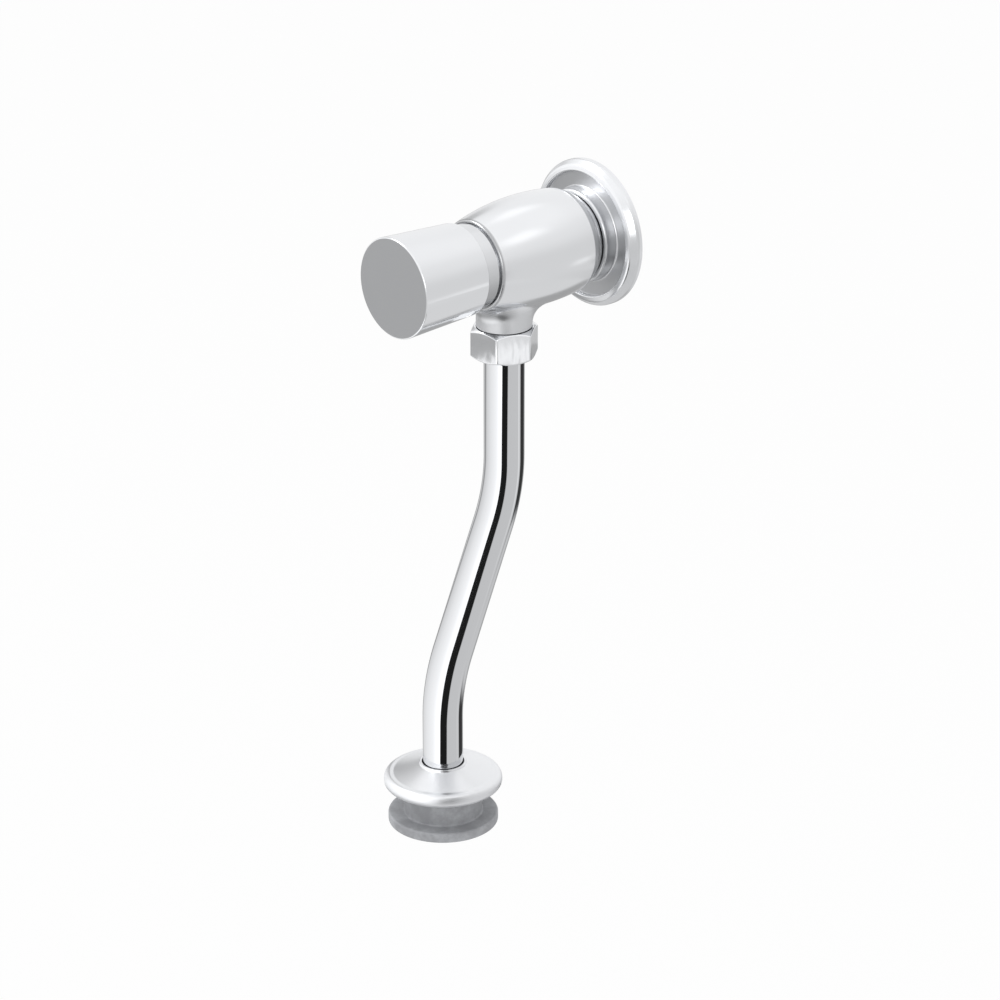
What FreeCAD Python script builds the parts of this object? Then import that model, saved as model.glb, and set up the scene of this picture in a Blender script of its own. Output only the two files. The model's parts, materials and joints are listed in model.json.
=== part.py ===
import FreeCAD, Part
import math
import os

# Push-button urinal flush valve: a screwed-in delay cartridge in a barrel-shaped body, a bent flush
# tube below it, and a rubber spud with a loose cover plate at the tube's foot.
# The valve's axis runs level, along Y. The wall is the plane y = 0 and the button faces -Y.
# "Depth" is the distance in front of the wall, so y = -depth. All sizes are in millimetres.

Vec = FreeCAD.Vector

# clearances
loose_gap = 0.3          # between pieces that move past each other, and between stacked seats
running_fit = 0.08       # radial, piston and rod in their bores
seat_fit = 0.05          # radial, between pieces that are screwed or pressed together
edge_cut = 0.5           # chamfer on the ends of turned pieces
past = 1.0               # how far a cutting shape reaches past what it cuts

# valve body
tail_length = 14.0       # threaded inlet behind the wall plane
tail_radius = 10.48      # G1/2 thread
tail_lead = 0.8          # chamfer at the thread's start
shank_relief = 0.48      # the plain shank in front of the thread is that much smaller
shank_rear = 0.6
body_rear = 9.8
body_rear_radius = 17.2
body_rear_round = 7.0
rim_wall = 1.95          # round the bonnet's thread, at the front rim
barrel_fullest = 31.5    # depth where the barrel is fullest
barrel_sweep = 107.0     # radius of the lengthwise curve
body_edge = 0.7          # chamfer round the front rim

# outlet branch
branch_back = 16.0       # from the front rim to the branch's axis
branch_land = 0.65       # of the neck's foot round the outlet thread
branch_blend = 8.0
neck_length = 5.95       # below the barrel, where the neck ends and the outlet thread starts
outlet_thread_length = 8.1
outlet_lead = 0.6        # chamfer at the thread's start

# inlet strainer and flow regulator
inlet_ledge = 0.6        # the part of the waterway that holds both is wider by this
inlet_step = 7.2         # depth where it narrows to the waterway
regulator_thick = 2.0
regulator_hole = 3.0
regulator_lead = 0.8     # chamfer towards the strainer
strainer_length = 9.8
strainer_rim = 1.2
strainer_mouth = 5.6
strainer_tip = 4.4
strainer_wall = 0.7
strainer_slots = 6
strainer_slot = 1.1      # width of a slot

# cartridge: valve seat at the nose, windows, delay cylinder, flange
travel = 6.0             # of the button and of the piston
rod_room = 1.2           # left between the pressed rod's tip and the regulator
seat_radius = 6.0
seat_lip = 0.4
seat_lip_width = 1.2
nose_step = 0.9          # the nose's bore in the body is that much wider than the cylinder
nose_ledge = 0.5         # in the body, in front of the nose
nose_length = 6.0
nose_wall = 4.0          # from seat face to the spring's shelf
cylinder_radius = 10.6
sleeve_wall = 1.8
window_count = 4
window_width = 5.0
window_length = 5.5
window_start = 1.5       # past the nose
flange_thick = 2.5
flange_ledge = 1.5       # in the body, under the cartridge's flange
chamber_room = 1.9       # between sleeve and body, for the water that leaves the windows
end_room = 0.9           # left at the ends of the stroke
ring_wire = 0.9          # radius of the o-rings' cord
gasket_thick = 1.0
cap_thick = 4.5

# piston, rod and seat washer
delay_room = 4.0         # between piston and cap at rest
piston_length = 8.0
piston_lead = 0.6        # chamfer at the front
seal_length = 3.5
seal_deep = 2.1          # depth of its groove
seal_behind = 3.0        # piston in front of the seal's groove
pin_radius = 0.9         # metering pin, through the piston
pin_flat = 0.3           # taken off one side
pin_head = 1.2
pin_head_lap = 0.45      # of the head over the pin
pin_reach = 1.0          # past the piston's front
pin_in = 1.9             # from the seal's groove to the pin's axis
rod_radius = 3.0
shoulder_lap = 1.4       # of the rod's shoulders over the rod
shoulder_length = 1.7
tip_step = 1.0           # the rod's tip is that much smaller
rod_reach = 11.0         # rod's end in front of the body
washer_lap = 0.8         # of the washer over the seat's lip
washer_thick = 3.2
plate_thick = 1.2
plate_rim = 0.8
plate_lap = 2.2          # how far the plate's rim laps the washer
nut_wall = 1.5
nut_high = 2.4
main_wire = 0.6
main_turns = 4
main_room = 1.3          # from the cylinder's wall to the middle of the wire
main_spare = 2.2         # spring left to press at the end of the stroke

# bonnet, stem and button
bonnet_step = 0.9        # the sleeve is that much wider than the skirt's thread
bonnet_skirt = 4.5       # screwed into the body
skirt_wall = 3.3
joint_groove = 0.7       # width and depth of the groove between body and sleeve
web_thick = 3.0
spring_well = 5.5
slot_width = 4.0
slot_deep = 3.0
stem_radius = 4.0
stem_step = 1.5          # the stem's tip is that much smaller
clip_thick = 1.0
clip_reach = 2.6         # of the clip past the stem
clip_groove = 0.8
clip_gap = 4.55          # opening of the clip
ring_show = 1.0          # bonnet left showing with the button pressed home
button_length = 32.2
button_wall = 1.2        # at the rear
button_flare = 1.6       # the front is that much wider
button_face = 3.0
button_edge = 0.8
stem_seat = 1.5          # how deep the stem's tip reaches into the button's face
boss_wall = 2.0
button_wire = 0.5
button_coil_room = 2.0   # from the boss to the middle of the wire
button_turns = 3

# wall flange
flange_rim_radius = 29.4
flange_rim_deep = 6.0
flange_rim_round = 3.0
flange_rim_wide = 4.6
flange_edge = 0.4        # chamfer of the hub ring and of the step
flange_sink = 1.6        # of the dish below the rim
flange_sheet = 1.2
dish_rise = 1.4          # of the dish towards the ring behind the body
step_lean = 0.5          # of the step between dish and rim
hub_show = 1.6           # of the ring round the body's rear face
hub_width = 2.2
hub_room = 0.52          # round the inlet thread, which is put through the hub
seal_thick = 1.4

# union nut, washer and collar
union_wall = 1.65        # from thread to flat
union_lead = 0.8         # chamfer at the thread's start
union_face_in = 0.3      # the round end faces are that much smaller than the flats
union_floor = 2.0
union_turn = 7.0         # degrees, how the hexagon lies when tightened
union_round = 1.3        # height of the corner chamfers
outlet_washer_thick = 1.2
collar_thick = 1.3
collar_reach = 2.35      # from the tube to the outlet thread's radius

# flush tube
tube_radius = 8.0
tube_wall = 1.0
tube_bend = 70.0
tube_tilt = 23.1
tube_offset = 32.2
tube_upper_corner = -96.4
tube_foot = -230.4

# spud and its cover plate
foot_reach = 1.2         # of the rubber below the tube's end
spud_neck_radius = 15.5  # for the hole in the urinal
spud_neck_length = 12.8
spud_flange_wide = 6.5
spud_flange_thick = 4.2
spud_lip_wide = 2.0
spud_lip_edge = 0.6
spud_edge = 0.9
spud_relief = 2.2
spud_top_band = 1.0      # of the bore that grips the tube above the relief
cover_lap = 3.1          # of the plate past the rubber flange
cover_rim_wide = 3.5     # from the cone's edge to the rolled rim
cover_room = 0.45        # between tube and plate
cover_sheet = 1.0
cover_lip = 0.5          # raised round the hole
lip_width = 0.8
lip_foot = 1.04          # width of the lip where it runs out on the cone
lip_edge = 0.2
cover_cone = 4.55        # fall from the hole to the edge
cover_rim_drop = 3.9     # from the edge to the rolled rim's foot
cover_rim_in = 1.7
cover_widest = 2.26      # height of the rim's widest place over its foot
cover_edge_round = 3.0
cover_rim_round = 2.6
cover_sheet_side = 1.4   # the sheet measured level at the widest place

# radii worked out from the sizes above, from the inside to the outside
water_radius = tube_radius - tube_wall
inlet_radius = water_radius + inlet_ledge
shank_radius = tail_radius - shank_relief
rod_shoulder = rod_radius + shoulder_lap
rod_tip_radius = rod_radius - tip_step
nut_flats = 2 * (rod_tip_radius + nut_wall)
washer_radius = seat_radius + seat_lip_width + washer_lap
piston_hub = cylinder_radius - seal_deep
pin_place = piston_hub - pin_in
pin_head_radius = pin_radius + pin_head_lap
main_coil = cylinder_radius - main_room
nose_radius = cylinder_radius + nose_step
outlet_chamber = cylinder_radius + sleeve_wall + chamber_room
thread_radius = outlet_chamber + flange_ledge
flange_radius = thread_radius - loose_gap
bonnet_radius = thread_radius + bonnet_step
bonnet_bore = thread_radius - skirt_wall
stem_tip_radius = stem_radius - stem_step
clip_radius = stem_radius + clip_reach
boss_radius = stem_radius + boss_wall
button_coil = boss_radius + button_coil_room
button_bore = bonnet_radius + loose_gap
button_rear_radius = button_bore + button_wall
button_front_radius = button_rear_radius + button_flare
outlet_thread_radius = tube_radius + collar_reach
branch_radius = outlet_thread_radius + branch_land
union_bore = outlet_thread_radius + 2 * seat_fit
union_flats = 2 * (outlet_thread_radius + union_wall)
hub_bore = tail_radius + hub_room
hub_radius = body_rear_radius + hub_show
flange_step_radius = flange_rim_radius - flange_rim_wide
spud_flange_radius = spud_neck_radius + spud_flange_wide
spud_lip_radius = spud_neck_radius + spud_lip_wide
cover_hole = tube_radius + cover_room
cover_radius = spud_flange_radius + cover_lap
cover_edge_radius = cover_radius - cover_rim_wide

# depths, from the wall outwards
rod_tip = inlet_step + rod_room + travel
nut_face = rod_tip + nut_high + loose_gap
plate_face = nut_face + plate_thick
washer_face = plate_face + washer_thick
lip_face = washer_face + loose_gap
seat_depth = lip_face + seat_lip
washer_room = nut_face - travel - end_room
shelf = seat_depth + nose_wall
ring_place = seat_depth + nose_wall / 2
nose_shoulder = seat_depth + nose_length
piston_rear = shelf + 2 * main_turns * main_wire + main_spare + travel
piston_front = piston_rear + piston_length
cap_rear = piston_front + delay_room
flange_front = cap_rear + cap_thick
gasket_front = flange_front + gasket_thick
body_front = gasket_front + bonnet_skirt
cartridge_shoulder = flange_front - flange_thick
outlet_depth = body_front - branch_back
tube_depth = outlet_depth + tube_offset
rod_end = body_front + rod_reach
button_rear = body_front + travel + ring_show
button_front = button_rear + button_length
button_floor = button_front - button_face
bonnet_front = button_floor - travel - end_room
web_front = bonnet_front - spring_well
web_rear = web_front - web_thick
boss_end = web_front + travel + end_room
clip_front = web_rear - loose_gap
stem_rear = rod_end + loose_gap
flange_dish = flange_rim_deep - flange_sink

# the barrel, and heights below the axis
bulge = barrel_sweep - math.sqrt(barrel_sweep ** 2 - (body_front - barrel_fullest) ** 2)
barrel_radius = thread_radius + rim_wall + bulge
branch_foot = -barrel_radius - neck_length
outlet_end = branch_foot - outlet_thread_length
union_top = branch_foot - loose_gap
tube_top = outlet_end - outlet_washer_thick - 2 * seat_fit
collar_foot = tube_top - collar_thick
union_foot = collar_foot - union_floor
tilt = math.radians(tube_tilt)
tube_lower_corner = tube_upper_corner - tube_offset / math.tan(tilt)
spud_foot = tube_foot - foot_reach
spud_groove_top = spud_foot + spud_flange_thick + spud_neck_length
cover_foot = spud_groove_top
cover_edge = cover_foot + cover_rim_drop
cover_top = cover_edge + cover_cone
cone_slope = cover_cone / (cover_edge_radius - cover_hole)
six_ways = [math.radians(60 * i) for i in range(6)]


def rounded(points):
    """A closed wire through (u, v) points. A third number cuts that corner off, or with "round"
    after it rounds the corner by that radius. None marks a point that the outline bows through."""
    flat = [Vec(p[0], p[1], 0) for p in points]
    count = len(points)
    spans = []
    starts, ends, middles = {}, {}, {}
    for i, p in enumerate(points):
        size = p[2] if len(p) > 2 and p[2] else 0
        starts[i] = ends[i] = flat[i]
        if size:
            a = (flat[i - 1] - flat[i]).normalize()
            b = (flat[(i + 1) % count] - flat[i]).normalize()
            half = a.getAngle(b) / 2
            reach = size / math.tan(half) if len(p) > 3 else size
            starts[i] = flat[i] + a * reach
            ends[i] = flat[i] + b * reach
            if len(p) > 3:
                middles[i] = flat[i] + (a + b).normalize() * (size / math.sin(half) - size)
    bows = [i for i, p in enumerate(points) if len(p) > 2 and p[2] is None]
    for i in range(count):
        if i in bows:
            continue
        if i in middles:
            spans.append(Part.Arc(starts[i], middles[i], ends[i]).toShape())
        elif (ends[i] - starts[i]).Length > 0:
            spans.append(Part.LineSegment(starts[i], ends[i]).toShape())
        after = (i + 1) % count
        if after in bows:
            onward = (after + 1) % count
            spans.append(Part.Arc(ends[i], flat[after], starts[onward]).toShape())
        elif (ends[i] - starts[after]).Length > 1e-6:
            spans.append(Part.LineSegment(ends[i], starts[after]).toShape())
    return Part.Wire(Part.__sortEdges__(spans))


def level_turned(points):
    """Turn an outline of (radius, depth) points about the valve's axis."""
    face = Part.Face(rounded(points))
    face.rotate(Vec(0, 0, 0), Vec(1, 0, 0), 180)
    return solid(face.revolve(Vec(0, 0, 0), Vec(0, 1, 0), 360))


def upright_turned(points, depth):
    """Turn an outline of (radius, height) points about an upright axis at a depth."""
    face = Part.Face(rounded(points))
    face.rotate(Vec(0, 0, 0), Vec(1, 0, 0), 90)
    turned = face.revolve(Vec(0, 0, 0), Vec(0, 0, 1), 360)
    turned.translate(Vec(0, -depth, 0))
    return solid(turned)


def solid(shape):
    """The one solid in a shape, with its faces outward."""
    found = shape.Solids[0] if shape.Solids else Part.Solid(shape)
    if found.Volume < 0:
        found.reverse()
    return found


def level_rod(radius, start, end):
    """A round rod on the valve's axis between two depths."""
    return Part.makeCylinder(radius, end - start, Vec(0, -start, 0), Vec(0, -1, 0))


def ring(inner, outer, start, end):
    """A flat ring on the valve's axis."""
    return level_turned([(inner, start), (outer, start), (outer, end), (inner, end)])


def o_ring(cord_centre, depth):
    """A ring on the valve's axis, its round cord drawn with six sides."""
    sides = [(ring_wire * math.cos(a), ring_wire * math.sin(a)) for a in six_ways]
    return level_turned([(cord_centre + u, depth + v) for u, v in sides])


def hexagon(flats, start, high, turn):
    """An upright hexagonal prism that starts at a height, turned about its own axis."""
    reach = flats / 2 / math.cos(math.radians(30))
    corners = [math.radians(turn + 60 * i) for i in range(7)]
    edge = Part.makePolygon([Vec(reach * math.cos(a), reach * math.sin(a), start) for a in corners])
    return Part.Face(edge).extrude(Vec(0, 0, high))


def barrel_at(depth):
    """The barrel's radius at a depth, on its lengthwise curve."""
    along = depth - barrel_fullest
    return barrel_radius - barrel_sweep + math.sqrt(barrel_sweep ** 2 - along ** 2)


def round_middle(start, end, heading):
    """Middle point, marked as one, of the arc that leaves start along a heading and ends at end."""
    chord = Vec(end[0] - start[0], end[1] - start[1], 0)
    turn = chord.getAngle(Vec(heading[0], heading[1], 0))
    side = Vec(-chord.y, chord.x, 0).normalize()
    if side.dot(Vec(heading[0], heading[1], 0)) < 0:
        side = -side
    middle = Vec(start[0], start[1], 0) + chord * 0.5 + side * (chord.Length / 2 * math.tan(turn / 2))
    return middle.x, middle.y, None


def valve_body():
    """Barrel with its branch blended in, then the bores."""
    spare = 2 * branch_blend
    shoulder = body_rear + body_rear_round
    slope = (barrel_fullest - shoulder) / barrel_sweep
    barrel = level_turned([
        (0, body_rear),
        (body_rear_radius, body_rear),
        round_middle((barrel_at(shoulder), shoulder), (body_rear_radius, body_rear), (-slope, -1)),
        (barrel_at(shoulder), shoulder),
        (barrel_at((shoulder + body_front + spare) / 2), (shoulder + body_front + spare) / 2, None),
        (barrel_at(body_front + spare), body_front + spare),
        (0, body_front + spare)])
    branch = Part.makeCylinder(branch_radius, -branch_foot, Vec(0, -outlet_depth, 0), Vec(0, 0, -1))
    body = barrel.fuse(branch)
    seam = [e for e in body.Edges if on_seam(e)]
    body = body.makeFillet(branch_blend, seam)
    trim = level_rod(barrel_radius * 2, body_front, body_front + spare + past)
    rim = barrel_at(body_front)
    bevel = level_turned([(rim - body_edge, body_front + past), (rim - body_edge, body_front),
                          (rim + body_edge, body_front - 2 * body_edge),
                          (barrel_radius, body_front - 2 * body_edge), (barrel_radius, body_front + past)])
    body = body.cut(trim).cut(bevel)
    tail = level_turned([(0, -tail_length), (tail_radius, -tail_length, tail_lead), (tail_radius, shank_rear),
                         (shank_radius, shank_rear), (shank_radius, body_rear + past), (0, body_rear + past)])
    spigot = upright_turned([(0, outlet_end), (outlet_thread_radius, outlet_end, outlet_lead),
                             (outlet_thread_radius, branch_foot + past), (0, branch_foot + past)],
                            outlet_depth)
    body = body.fuse(tail).fuse(spigot)
    bores = level_turned([
        (0, -tail_length - past), (inlet_radius, -tail_length - past), (inlet_radius, inlet_step),
        (water_radius, inlet_step), (water_radius, washer_room),
        (nose_radius - nose_ledge, washer_room, flange_ledge),
        (nose_radius - nose_ledge, seat_depth - loose_gap),
        (nose_radius, seat_depth - loose_gap), (nose_radius, nose_shoulder),
        (outlet_chamber, nose_shoulder), (outlet_chamber, cartridge_shoulder),
        (thread_radius, cartridge_shoulder), (thread_radius, body_front + past), (0, body_front + past)])
    down = Part.makeCylinder(water_radius, -outlet_end + past, Vec(0, -outlet_depth, 0), Vec(0, 0, -1))
    return solid(body.cut(bores).cut(down).removeSplitter())


def on_seam(edge):
    """True for the edge where branch and barrel meet."""
    box = edge.BoundBox
    near = branch_radius / 20
    round_branch = abs(box.XMax - branch_radius) < near or abs(box.XMin + branch_radius) < near
    return round_branch and box.ZMax < -barrel_radius / 2 and box.ZMin > branch_foot + near


def inlet_strainer():
    """A tapered cup with lengthwise slots, its rim against the regulator."""
    front = inlet_step - regulator_thick - seat_fit
    rim = front - strainer_rim
    tip = front - strainer_length
    cup = level_turned([
        (0, tip), (strainer_tip, tip), (strainer_mouth, rim), (inlet_radius - seat_fit, rim),
        (inlet_radius - seat_fit, front), (strainer_mouth - strainer_wall, front),
        (strainer_tip - strainer_wall, tip + strainer_wall), (0, tip + strainer_wall)])
    long = strainer_length - strainer_rim - 3 * strainer_wall
    slot = Part.makeBox(strainer_mouth, long, strainer_slot,
                        Vec(strainer_tip / 2, -rim + strainer_wall, -strainer_slot / 2))
    for i in range(strainer_slots):
        cut = slot.copy()
        cut.rotate(Vec(0, 0, 0), Vec(0, 1, 0), 360 / strainer_slots * (i + 0.5))
        cup = cup.cut(cut)
    return solid(cup)


def flow_regulator():
    """A disc whose central hole is chamfered towards the strainer."""
    rear = inlet_step - regulator_thick
    return level_turned([
        (regulator_hole, rear, regulator_lead), (inlet_radius - seat_fit, rear),
        (inlet_radius - seat_fit, inlet_step - seat_fit), (regulator_hole, inlet_step - seat_fit)])


def cartridge():
    """Nose with the valve seat, windowed sleeve and flange, in one turned piece."""
    outer = cylinder_radius + sleeve_wall
    nose = nose_radius - seat_fit
    half = ring_wire + seat_fit
    turned = level_turned([
        (seat_radius, lip_face), (seat_radius + seat_lip_width, lip_face),
        (seat_radius + seat_lip_width, seat_depth), (nose, seat_depth),
        (nose, ring_place - half), (nose - 2 * ring_wire, ring_place - half),
        (nose - 2 * ring_wire, ring_place + half), (nose, ring_place + half),
        (nose, nose_shoulder + loose_gap), (outer, nose_shoulder + loose_gap),
        (outer, cartridge_shoulder), (flange_radius, cartridge_shoulder),
        (flange_radius, flange_front - seat_fit), (cylinder_radius, flange_front - seat_fit),
        (cylinder_radius, shelf), (seat_radius, shelf)])
    start = nose_shoulder + window_start
    window = Part.makeBox(2 * outer, window_length, window_width,
                          Vec(0, -start - window_length, -window_width / 2))
    for i in range(window_count):
        cut = window.copy()
        cut.rotate(Vec(0, 0, 0), Vec(0, 1, 0), 360 / window_count * (i + 0.5))
        turned = turned.cut(cut)
    return solid(turned)


def cartridge_cap():
    """Plug in the cylinder's front end, with a groove for the rod's ring."""
    hole = rod_radius + running_fit
    middle = (cap_rear + flange_front) / 2
    half = ring_wire + seat_fit
    return level_turned([
        (hole, cap_rear), (cylinder_radius - seat_fit, cap_rear),
        (cylinder_radius - seat_fit, flange_front - seat_fit), (hole, flange_front - seat_fit),
        (hole, middle + half), (hole + 2 * ring_wire + seat_fit, middle + half),
        (hole + 2 * ring_wire + seat_fit, middle - half), (hole, middle - half)])


def piston():
    """Delay piston with the groove of its lip seal and the metering hole."""
    outer = cylinder_radius - running_fit
    groove_front = piston_front - seal_behind
    groove_rear = groove_front - seal_length
    body = level_turned([
        (rod_radius + seat_fit, piston_rear), (outer, piston_rear), (outer, groove_rear),
        (piston_hub, groove_rear), (piston_hub, groove_front), (outer, groove_front),
        (outer, piston_front, piston_lead), (rod_radius + seat_fit, piston_front)])
    hole = level_rod(pin_radius + seat_fit, piston_rear - past, piston_front + past)
    hole.translate(Vec(pin_place, 0, 0))
    return solid(body.cut(hole))


def piston_seal():
    """Lip seal: a ring with a notch that opens towards the delay chamber."""
    front = piston_front - seal_behind - seat_fit
    rear = front - seal_length + 2 * seat_fit
    inner = piston_hub + seat_fit
    outer = cylinder_radius - running_fit
    middle = (inner + outer) / 2
    lip = (outer - inner) / 4
    return level_turned([
        (inner, rear), (outer - lip / 2, rear), (outer, front), (outer - lip, front),
        (middle, rear + seal_length / 2), (inner + lip, front), (inner, front)])


def metering_pin():
    """Pin through the piston with a flat along it that lets the water seep past, and a small head."""
    head_rear = piston_rear - pin_head
    tip = piston_front + pin_reach
    pin = level_turned([
        (0, head_rear), (pin_head_radius, head_rear), (pin_head_radius, piston_rear - seat_fit),
        (pin_radius, piston_rear - seat_fit), (pin_radius, tip), (0, tip)])
    flat = Part.makeBox(pin_radius, tip - piston_rear + past, 2 * pin_radius,
                        Vec(pin_radius - pin_flat, -tip - past, -pin_radius))
    pin = pin.cut(flat)
    pin.translate(Vec(pin_place, 0, 0))
    return solid(pin)


def piston_rod():
    """Rod with a threaded tip for the washer, a shoulder at the washer and one at the piston."""
    collar = piston_rear - seat_fit
    return level_turned([
        (0, rod_tip), (rod_tip_radius, rod_tip), (rod_tip_radius, washer_face), (rod_shoulder, washer_face),
        (rod_shoulder, washer_face + shoulder_length), (rod_radius, washer_face + shoulder_length),
        (rod_radius, collar - shoulder_length), (rod_shoulder, collar - shoulder_length),
        (rod_shoulder, collar), (rod_radius, collar), (rod_radius, rod_end, edge_cut), (0, rod_end)])


def seat_washer():
    """Rubber washer that closes on the seat's lip."""
    return ring(rod_tip_radius + seat_fit, washer_radius, plate_face, washer_face)


def washer_plate():
    """Shallow metal cup that holds the washer's edge."""
    rim = washer_radius + seat_fit
    return level_turned([
        (rod_tip_radius + seat_fit, nut_face), (rim + plate_rim, nut_face),
        (rim + plate_rim, plate_face + plate_lap), (rim, plate_face + plate_lap),
        (rim, plate_face - seat_fit), (rod_tip_radius + seat_fit, plate_face - seat_fit)])


def washer_nut():
    """Small hexagon nut on the rod's threaded tip."""
    block = hexagon(nut_flats, 0, nut_high - seat_fit, 0)
    block.rotate(Vec(0, 0, 0), Vec(1, 0, 0), 90)
    block.translate(Vec(0, -(nut_face - nut_high), 0))
    return solid(block.cut(level_rod(rod_tip_radius + seat_fit, rod_tip - past, nut_face + past)))


def helix_arcs(coil, rise, turns, start):
    """Edges of a helix about the valve's axis: every half turn is two arcs that share a tangent."""
    angle = math.pi
    climb = rise / turns / 2

    def point(i):
        return Vec(coil * math.cos(i * angle), -start - i * climb, coil * math.sin(i * angle))

    def heading(i):
        return Vec(-coil * math.sin(i * angle), -climb / angle, coil * math.cos(i * angle)).normalize()

    edges = []
    for i in range(turns * 2):
        p, q, a, b = point(i), point(i + 1), heading(i), heading(i + 1)
        chord = q - p
        k = 2 * (a.dot(b) - 1)
        along = chord.dot(a + b)
        reach = (2 * along - math.sqrt(4 * along ** 2 - 4 * k * chord.dot(chord))) / (2 * k)
        near, far = p + a * reach, q - b * reach
        join = (near + far) * 0.5
        edges.append(arc_by_corner(p, near, join))
        edges.append(arc_by_corner(join, far, q))
    return edges


def arc_by_corner(start, corner, end):
    """The arc from start to end that touches both lines through the corner."""
    middle = (start + end) * 0.5
    half_chord = (end - start).Length / 2
    side = (corner - start).Length
    half_angle = math.acos(min(1, half_chord / side)) / 2
    bow = (corner - middle).normalize() * (half_chord * math.tan(half_angle))
    return Part.Arc(start, middle + bow, end).toShape()


def spring(coil, wire, turns, start, end):
    """Wound spring between two seats, one unbroken wire, its round section drawn with six sides.
    Its ends run straight for one wire diameter."""
    lead = 2 * wire
    low, high = start + wire + loose_gap, end - wire - loose_gap
    arcs = helix_arcs(coil, high - low, turns, low)
    first, last = arcs[0], arcs[-1]
    head, foot = first.valueAt(first.FirstParameter), last.valueAt(last.LastParameter)
    out = first.tangentAt(first.FirstParameter)
    onward = last.tangentAt(last.LastParameter)
    edges = [Part.LineSegment(head - out * lead, head).toShape()] + arcs
    edges.append(Part.LineSegment(foot, foot + onward * lead).toShape())
    path = Part.Wire(edges)
    side = Vec(head.x, 0, head.z).normalize()
    across = out.cross(side)
    corners = [head - out * lead + side * wire * math.cos(a) + across * wire * math.sin(a) for a in six_ways]
    section = Part.makePolygon(corners + corners[:1])
    shell = Part.BRepOffsetAPI.MakePipeShell(path)
    shell.add(section)
    shell.build()
    shell.makeSolid()
    print("spring", round(coil, 2), "gap between turns", round(self_gap(path, coil, wire), 2), "mm")
    return solid(shell.shape())


def self_gap(path, coil, wire):
    """Least gap of a wound wire to itself, measured on points over half a turn apart along it."""
    points = path.discretize(Number=240)
    step = path.Length / 239
    apart = int(math.pi * coil / step)
    least = min((points[i] - q).Length for i in range(len(points)) for q in points[i + apart:])
    return least - 2 * wire


def main_spring():
    return spring(main_coil, main_wire, main_turns, shelf, piston_rear)


def button_spring():
    return spring(button_coil, button_wire, button_turns, web_front, button_floor)


def bonnet():
    """Guide sleeve: skirt in the body, long barrel for the button, web for the stem, spanner slots."""
    skirt = thread_radius - seat_fit
    hole = stem_radius + loose_gap
    sleeve = level_turned([
        (bonnet_bore, gasket_front), (skirt, gasket_front), (skirt, body_front + seat_fit),
        (bonnet_radius - joint_groove, body_front + seat_fit),
        (bonnet_radius - joint_groove, body_front + seat_fit + joint_groove),
        (bonnet_radius, body_front + seat_fit + joint_groove), (bonnet_radius, bonnet_front, edge_cut),
        (bonnet_bore, bonnet_front), (bonnet_bore, web_front), (hole, web_front),
        (hole, web_rear), (bonnet_bore, web_rear)])
    slot = Part.makeBox(4 * bonnet_radius, slot_deep + past, slot_width,
                        Vec(-2 * bonnet_radius, -bonnet_front - past, -slot_width / 2))
    return solid(sleeve.cut(slot))


def button_stem():
    """Stem screwed into the button's boss, with the groove of its clip."""
    groove = clip_front - clip_thick / 2
    half = clip_thick / 2 + seat_fit
    tip = button_floor + stem_seat
    return level_turned([
        (0, stem_rear), (stem_radius, stem_rear), (stem_radius, groove - half),
        (stem_radius - clip_groove, groove - half), (stem_radius - clip_groove, groove + half),
        (stem_radius, groove + half), (stem_radius, boss_end - seat_fit),
        (stem_tip_radius, boss_end - seat_fit), (stem_tip_radius, tip), (0, tip)])


def stem_clip():
    """Spring clip in the stem's groove, open on one side."""
    inner = stem_radius - clip_groove + seat_fit
    clip = ring(inner, clip_radius, clip_front - clip_thick, clip_front)
    gap = Part.makeBox(clip_gap, 3 * clip_thick, clip_radius + past,
                       Vec(-clip_gap / 2, -clip_front - clip_thick, 0))
    return solid(clip.cut(gap))


def push_button():
    """Deep tapered cup with a flat face and a boss for the stem."""
    hole_end = button_floor + stem_seat + loose_gap
    hole = stem_tip_radius + seat_fit
    return level_turned([
        (0, hole_end), (hole, hole_end), (hole, boss_end), (boss_radius, boss_end),
        (boss_radius, button_floor), (button_bore, button_floor), (button_bore, button_rear),
        (button_rear_radius, button_rear, edge_cut),
        (button_front_radius, button_front, button_edge, "round"), (0, button_front)])


def wall_flange():
    """Pressed cover plate: rolled rim on the wall, a shallow dish and a ring behind the body."""
    web = body_rear - seal_thick - 2 * seat_fit
    inner_rim = flange_rim_radius - flange_sheet
    back = web - flange_sheet
    inner_cut = (flange_rim_round - flange_sheet) * (2 - math.sqrt(2))
    dish_middle = (hub_radius + flange_step_radius) / 2
    return level_turned([
        (hub_bore, web), (hub_radius - hub_width, web),
        (hub_radius - hub_width, body_rear - loose_gap, flange_edge),
        (hub_radius, body_rear - loose_gap, flange_edge),
        (hub_radius, flange_dish + dish_rise), (dish_middle, flange_dish),
        (flange_step_radius, flange_dish), (flange_step_radius + step_lean, flange_rim_deep, flange_edge),
        (flange_rim_radius, flange_rim_deep, flange_rim_round, "round"),
        (flange_rim_radius, 0), (inner_rim, 0), (inner_rim, flange_rim_deep - flange_sheet, inner_cut),
        (flange_step_radius + step_lean + flange_sheet, flange_rim_deep - flange_sheet),
        (flange_step_radius + step_lean, flange_dish - flange_sheet),
        (dish_middle, flange_dish - flange_sheet), (hub_radius - flange_sheet, back), (hub_bore, back)])


def flange_seal():
    """Flat rubber ring between the flange and the body's rear face."""
    front = body_rear - seat_fit
    return ring(shank_radius + seat_fit, hub_radius - hub_width - seat_fit, front - seal_thick, front)


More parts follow.
